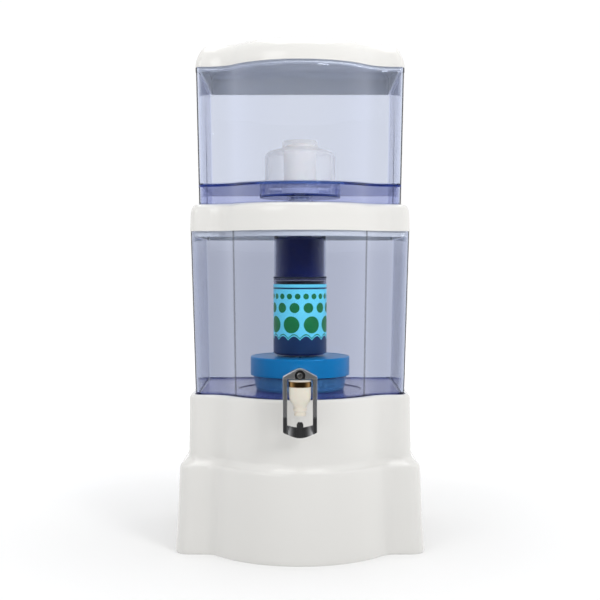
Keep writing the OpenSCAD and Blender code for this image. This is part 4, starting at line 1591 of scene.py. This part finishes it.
@dataclass
class Candle:
    """The ceramic candle in the well, its frosted cover and its threaded stem."""

    well_z: float = 513.0
    cover_r: float = 53.5
    shoulder: float = 68.0
    height: float = 83.5
    crown_r: float = 27.2
    wall: float = 2.0

    def build(self) -> None:
        """The cover as a fine turned piece, and finishes for the candle and the rest."""
        r, w, s, c, h = self.cover_r, self.wall, self.shoulder, self.crown_r, self.height
        cover = Part("candle_cover_frosted").turned(
            Turn(r, 0, 0.5),
            Turn(r, s - 9, 3),
            Turn(r - 1.2, s - 5, 2),
            Turn(r - 4, s - 2, 2),
            Turn(r - 9, s, 2),
            Turn(c + 5, s + 3.5, 2),
            Turn(c, s + 5, 1),
            Turn(c, h - 3, 1),
            Turn(c - 0.9, h - 0.9, 0.8),
            Turn(c - 3, h, 0.8),
            Turn(0.4, h),
            Turn(0.4, h - w),
            Turn(c - w - 1, h - w, 0.5),
            Turn(c - w, h - w - 1, 0.5),
            Turn(c - w, s + 5 - w, 1),
            Turn(c + 4, s + 3.5 - w, 1),
            Turn(r - 9, s - w, 2),
            Turn(r - 4 - w / 2, s - 2 - w, 2),
            Turn(r - w - 1, s - 6, 2),
            Turn(r - w, s - 9, 3),
            Turn(r - w, 0, 0.5),
            steps=128,
        )
        cover.moved(z=self.well_z)
        SHOP.finish(cover, FROSTED, Body.CANDLE_COVER.value, ["candle_cover"])
        SHOP.redress(CERAMIC, "candle_element")
        SHOP.redress(INNER_WHITE, "candle_base", "stem_nut")
        SHOP.redress(PALE_SEAL, "stem_seal_upper", "stem_seal_lower")


@dataclass
class Cartridge:
    """The hanging cartridge: sleeved cap, seal ring, smoky shell, printed label, beds and foot."""

    body: str = Body.UPPER_TANK.value
    low: float = 276.0
    top: float = 389.0
    r: float = 40.0
    wall: float = 2.5
    cap_low: float = 391.0
    cap_top: float = 499.5
    cap_r: float = 39.3
    cup: float = 66.0
    neck_r: float = 26.0
    sleeve: float = 1.85
    skin: float = 0.65
    stem_r: float = 8.05
    hub_r: float = 12.0
    hub_low: float = 487.5
    label_low: float = 277.0
    label_high: float = 380.0
    label_t: float = 0.35
    seam: float = 14.0
    spigot_rise: float = 12.0
    sleeve_gap: float = 0.05
    neck_gap: float = 0.3
    cup_drop: float = 2.4
    sleeve_roof: float = 2.3

    def build(self) -> None:
        """The outside pieces are made anew; the beds keep their meshes."""
        self._shell()
        self._label()
        self._cap()
        foot = Part.of_node("cartridge_foot", "cartridge_foot_moulded").bevelled(0.4, 2, 40.0)
        SHOP.finish(foot, NAVY, self.body, ["cartridge_foot"])
        SHOP.redress(SEAL, "cartridge_seal")
        SHOP.redress(FELT, "media_screens")
        for bed, grains in (("carbon", CARBON), ("resin", RESIN), ("mineral", MINERAL)):
            SHOP.redress(grains, "media_" + bed)

    def _cap(self) -> None:
        """The navy cup with its neck and hub, inside a clear sleeve that shows as a pale rim."""
        low, top, r, neck = self.cap_low, self.cap_top, self.cap_r, self.neck_r
        brim = low + self.cup
        ledge, roof = brim - self.cup_drop, brim - self.sleeve_roof
        core, skin, wall = r - self.sleeve - self.sleeve_gap, self.skin, self.wall
        cup = Part("cartridge_cap_cup").turned(
            Turn(core - skin, low + 0.3, 0.2),
            Turn(core, low + 0.3, 0.2),
            Turn(core, brim - 8.0, 2.0),
            Turn(core - 4.5, ledge, 1.0),
            Turn(neck, ledge, 0.6),
            Turn(neck, top, 1.2),
            Turn(self.stem_r, top, 0.3),
            Turn(self.stem_r, self.hub_low, 0.3),
            Turn(self.hub_r, self.hub_low, 0.3),
            Turn(self.hub_r, top - wall, 0.6),
            Turn(neck - wall, top - wall, 0.6),
            Turn(neck - wall, ledge - wall, 0.6),
            Turn(core - 5.0 - skin, ledge - wall, 0.6),
            Turn(core - skin, brim - 8.6, 1.0),
            steps=128,
        )
        SHOP.finish(cup, NAVY, self.body, ["cartridge_cap"])
        inner, mouth = r - self.sleeve, neck + self.neck_gap
        sleeve = Part("cartridge_cap_sleeve").turned(
            Turn(inner, low, 0.3),
            Turn(r, low, 0.4),
            Turn(r, brim - 3.0, 2.0),
            Turn(r - 3.0, brim, 1.5),
            Turn(mouth, brim, 0.4),
            Turn(mouth, roof, 0.4),
            Turn(inner - 4.4, roof, 0.8),
            Turn(inner, brim - 7.9, 1.5),
            steps=128,
        )
        SHOP.finish(sleeve, SLEEVE, self.body, ["cartridge_cap"])

    def _shell(self) -> None:
        """The clear tube with its spigot."""
        r, w, low, top = self.r, self.wall, self.low, self.top
        spigot, peak = self.cap_r - w - 0.2, top + self.spigot_rise
        shell = Part("cartridge_tube").turned(
            Turn(r - w, low, 0.4),
            Turn(r, low, 0.8),
            Turn(r, top, 0.8),
            Turn(spigot, top, 0.3),
            Turn(spigot, peak, 0.6),
            Turn(spigot - w, peak, 0.6),
            Turn(spigot - w, top - w, 0.6),
            Turn(r - w, top - w, 0.6),
            steps=128,
        )
        SHOP.finish(shell, SMOKY, self.body, ["cartridge_shell"])

    def _label(self) -> None:
        """A thin sleeve with a seam gap at the back."""
        r, t = self.r, self.label_t
        label = Part("cartridge_label_print").turned(
            Turn(r + 0.02, self.label_low),
            Turn(r + t, self.label_low, 0.1),
            Turn(r + t, self.label_high, 0.1),
            Turn(r + 0.02, self.label_high),
            steps=120,
            ease=2,
            sweep=360.0 - self.seam,
        )
        label.tipped(90 + self.seam / 2, "Z")
        SHOP.finish(label, LABEL, self.body, ["cartridge_label"])


@dataclass
class UpperLid:
    """The white domed lid of the upper tank."""

    rim: float = 693.0
    height: float = 37.0
    wall: float = 3.5
    lip_depth: float = 4.5
    rim_out: float = -6.9
    corner: float = 10.0

    def build(self) -> None:
        """One shell: lip, soft skirt and a dome that flattens towards its middle."""
        z, h, w, rc, rim = self.rim, self.height, self.wall, self.corner, self.rim_out
        lip = rim - w - 0.4
        inner = rc - w - 3
        levels = [
            Level(z + h - 2 * w, lip - w, inner, 0.92),
            Level(z + h - 4 * w, lip - w, inner, soft=4),
            Level(z - self.lip_depth, lip - w, inner, soft=0.8),
            Level(z - self.lip_depth, lip, rc - w, soft=0.8),
            Level(z, lip, rc - w),
            Level(z, rim + 0.3, rc, soft=0.3),
            Level(z + 0.6, rim + 0.6, rc, soft=0.3),
            Level(z + 6, rim + 0.3, rc, soft=3),
            Level(z + h * 0.38, rim - 1.6, rc, soft=4),
            Level(z + h * 0.58, rim - 4.4, rc, soft=3),
            Level(z + h * 0.74, rim - 8.2, rc - 3, soft=2.5),
            Level(z + h * 0.86, rim - 8.2, rc - 3, 0.965, soft=2),
            Level(z + h * 0.93, rim - 8.2, rc - 3, 0.92, soft=1.2),
            Level(z + h * 0.965, rim - 8.2, rc - 3, 0.86, soft=0.8),
            Level(z + h * 0.985, rim - 8.2, rc - 3, 0.75, soft=0.5),
            Level(z + h * 0.995, rim - 8.2, rc - 3, 0.5, soft=0.3),
            Level(z + h, rim - 8.2, rc - 3, 0.2),
        ]
        lid = Part("upper_lid_shell").loft(levels)
        SHOP.finish(lid, WHITE, Body.UPPER_LID.value, ["upper_lid"])


# ---------------------------------------------------------------- studio


@dataclass
class Studio:
    """A plain pale floor, soft lights, an even surround and a level camera."""

    camera_place: tuple[float, float, float] = (0.0, -1.66886, 0.4097)
    lens: float = 66.84
    sensor: float = 36.0
    shift_y: float = -0.0595
    floor_size: float = 12.0
    floor_glow: float = 0.58
    paper: float = 1.02
    low_grey: float = 0.66
    high_grey: float = 0.94
    lean: float = 0.2
    sky: float = 0.66
    room: float = 0.05
    horizon: tuple[float, float] = (0.0, 0.07)
    lean_span: tuple[float, float] = (-0.12, 0.12)
    room_span: tuple[float, float] = (-0.8, 0.4)
    glow_span: tuple[float, float] = (0.2, 1.6)
    aim_height: float = 0.36
    lamps: tuple[tuple[str, tuple[float, float, float], float, float], ...] = (
        ("key", (1.5, -2.3, 1.7), 0.8, 26.0),
        ("fill", (-1.7, -2.2, 1.9), 1.5, 11.0),
        ("top", (0.0, 0.1, 2.4), 1.6, 18.0),
    )
    low_tint: Colour = (0.87, 0.89, 1.0)
    high_tint: Colour = (0.95, 0.96, 1.0)
    inside: Colour = (0.9, 0.99, 1.2)

    def build(self) -> None:
        """Floor, lights, surroundings and camera."""
        self._floor()
        for lamp in self.lamps:
            self._softbox(*lamp)
        self._surroundings()
        self._camera()

    def _floor(self) -> None:
        """A pale floor plane."""
        mesh = bmesh.new()
        bmesh.ops.create_grid(mesh, x_segments=1, y_segments=1, size=self.floor_size / 2)
        data = bpy.data.meshes.new("floor")
        mesh.to_mesh(data)
        mesh.free()
        floor = placed("floor", data)
        shader = Shader("floor_paper")
        grain = shader.noise(300.0, 2.0)
        tone = shader.mix(grain, (0.73, 0.73, 0.73), (0.75, 0.75, 0.75))
        away = shader.node("VectorMath", {"operation": "LENGTH"}, {0: shader.place()}, out="Value")
        painted_glow = shader.mix(away.eased(*self.glow_span), (0.3, 0.3, 0.3), (1.0, 1.0, 1.0))
        bare = shader.node("BsdfPrincipled", {}, {
            "Base Color": tone,
            "Roughness": 0.7,
            "Emission Color": painted_glow,
            "Emission Strength": self.floor_glow,
        })
        clear = shader.node("BsdfTransparent")
        ray = shader.node("LightPath", out="Transmission Depth")
        through = (ray > 0.5) * (ray["Diffuse Depth"] < 0.5)
        made = shader.node("MixShader", {}, {0: through, 1: bare, 2: clear})
        shader.node("OutputMaterial", {}, {"Surface": made})
        data.materials.append(shader.material)
        floor.visible_glossy = False

    def _softbox(
        self, name: str, place: tuple[float, float, float], size: float, power: float
    ) -> None:
        """A square light aimed at the filter's middle.

        Args:
            name: its name.
            place: where it hangs.
            size: its side.
            power: its power in watts.
        """
        light = bpy.data.lights.new(name, "AREA")
        light.shape, light.size, light.energy = "SQUARE", size, power
        made = placed(name, light)
        made.location = place
        aim = Vector((0, 0, self.aim_height)) - Vector(place)
        made.rotation_euler = aim.to_track_quat("-Z", "Y").to_euler()
        made.visible_glossy = name != "key"

    def _surroundings(self) -> None:
        """White paper all round, an even soft light, and a dim room in front of the filter."""
        shader = Shader("studio", bpy.data.worlds)
        ray = shader.node("LightPath", out="Diffuse Depth")
        lit, mirrored = ray > 0.5, ray["Glossy Depth"] > 0.5
        through = ray["Transmission Depth"] > 0.5
        facing = shader.node("SeparateXYZ", {}, {0: shader.node("TexCoord")}, out="Y")
        high = facing["Z"].eased(*self.horizon)
        lean = (facing["X"].eased(*self.lean_span) - 0.5) * self.lean + 1
        low = lean * self.low_grey
        backdrop = high * self.high_grey + (1 - high) * low
        seen = through * backdrop + (1 - through) * self.paper
        far = facing.eased(*self.room_span)
        room = far * seen + (1 - far) * self.room
        unlit = mirrored * room + (1 - mirrored) * seen
        strength = lit * self.sky + (1 - lit) * unlit
        tint = shader.mix(lit, shader.mix(high, self.low_tint, self.high_tint), self.inside)
        tone = shader.mix(through, (1.0, 1.0, 1.0), tint)
        paper = shader.node("Background", {}, {"Color": tone, "Strength": strength})
        shader.node("OutputWorld", {}, {"Surface": paper})
        bpy.context.scene.world = shader.material
        bpy.context.scene.view_settings.view_transform = "Standard"

    def _camera(self) -> None:
        """A level camera in front of the middle."""
        data = bpy.data.cameras.new("camera")
        data.lens, data.sensor_width, data.shift_y = self.lens, self.sensor, self.shift_y
        data.clip_start, data.clip_end = 0.05, 50.0
        camera = placed("camera", data)
        camera.location = self.camera_place
        camera.rotation_euler = (math.pi / 2, 0.0, 0.0)
        bpy.context.scene.camera = camera


def main() -> None:
    """Builds every sub-assembly and the studio."""
    logging.basicConfig(level=logging.INFO, format="%(name)s %(message)s")
    Studio().build()
    assemblies = (
        Pedestal(), LowerTank(), MineralBox(), Tap(), MiddleLid(), UpperTank(), Candle(),
        Cartridge(), UpperLid(),
    )
    for assembly in assemblies:
        LOG.info("building %s", type(assembly).__name__)
        assembly.build()


if __name__ == "__main__":
    main()
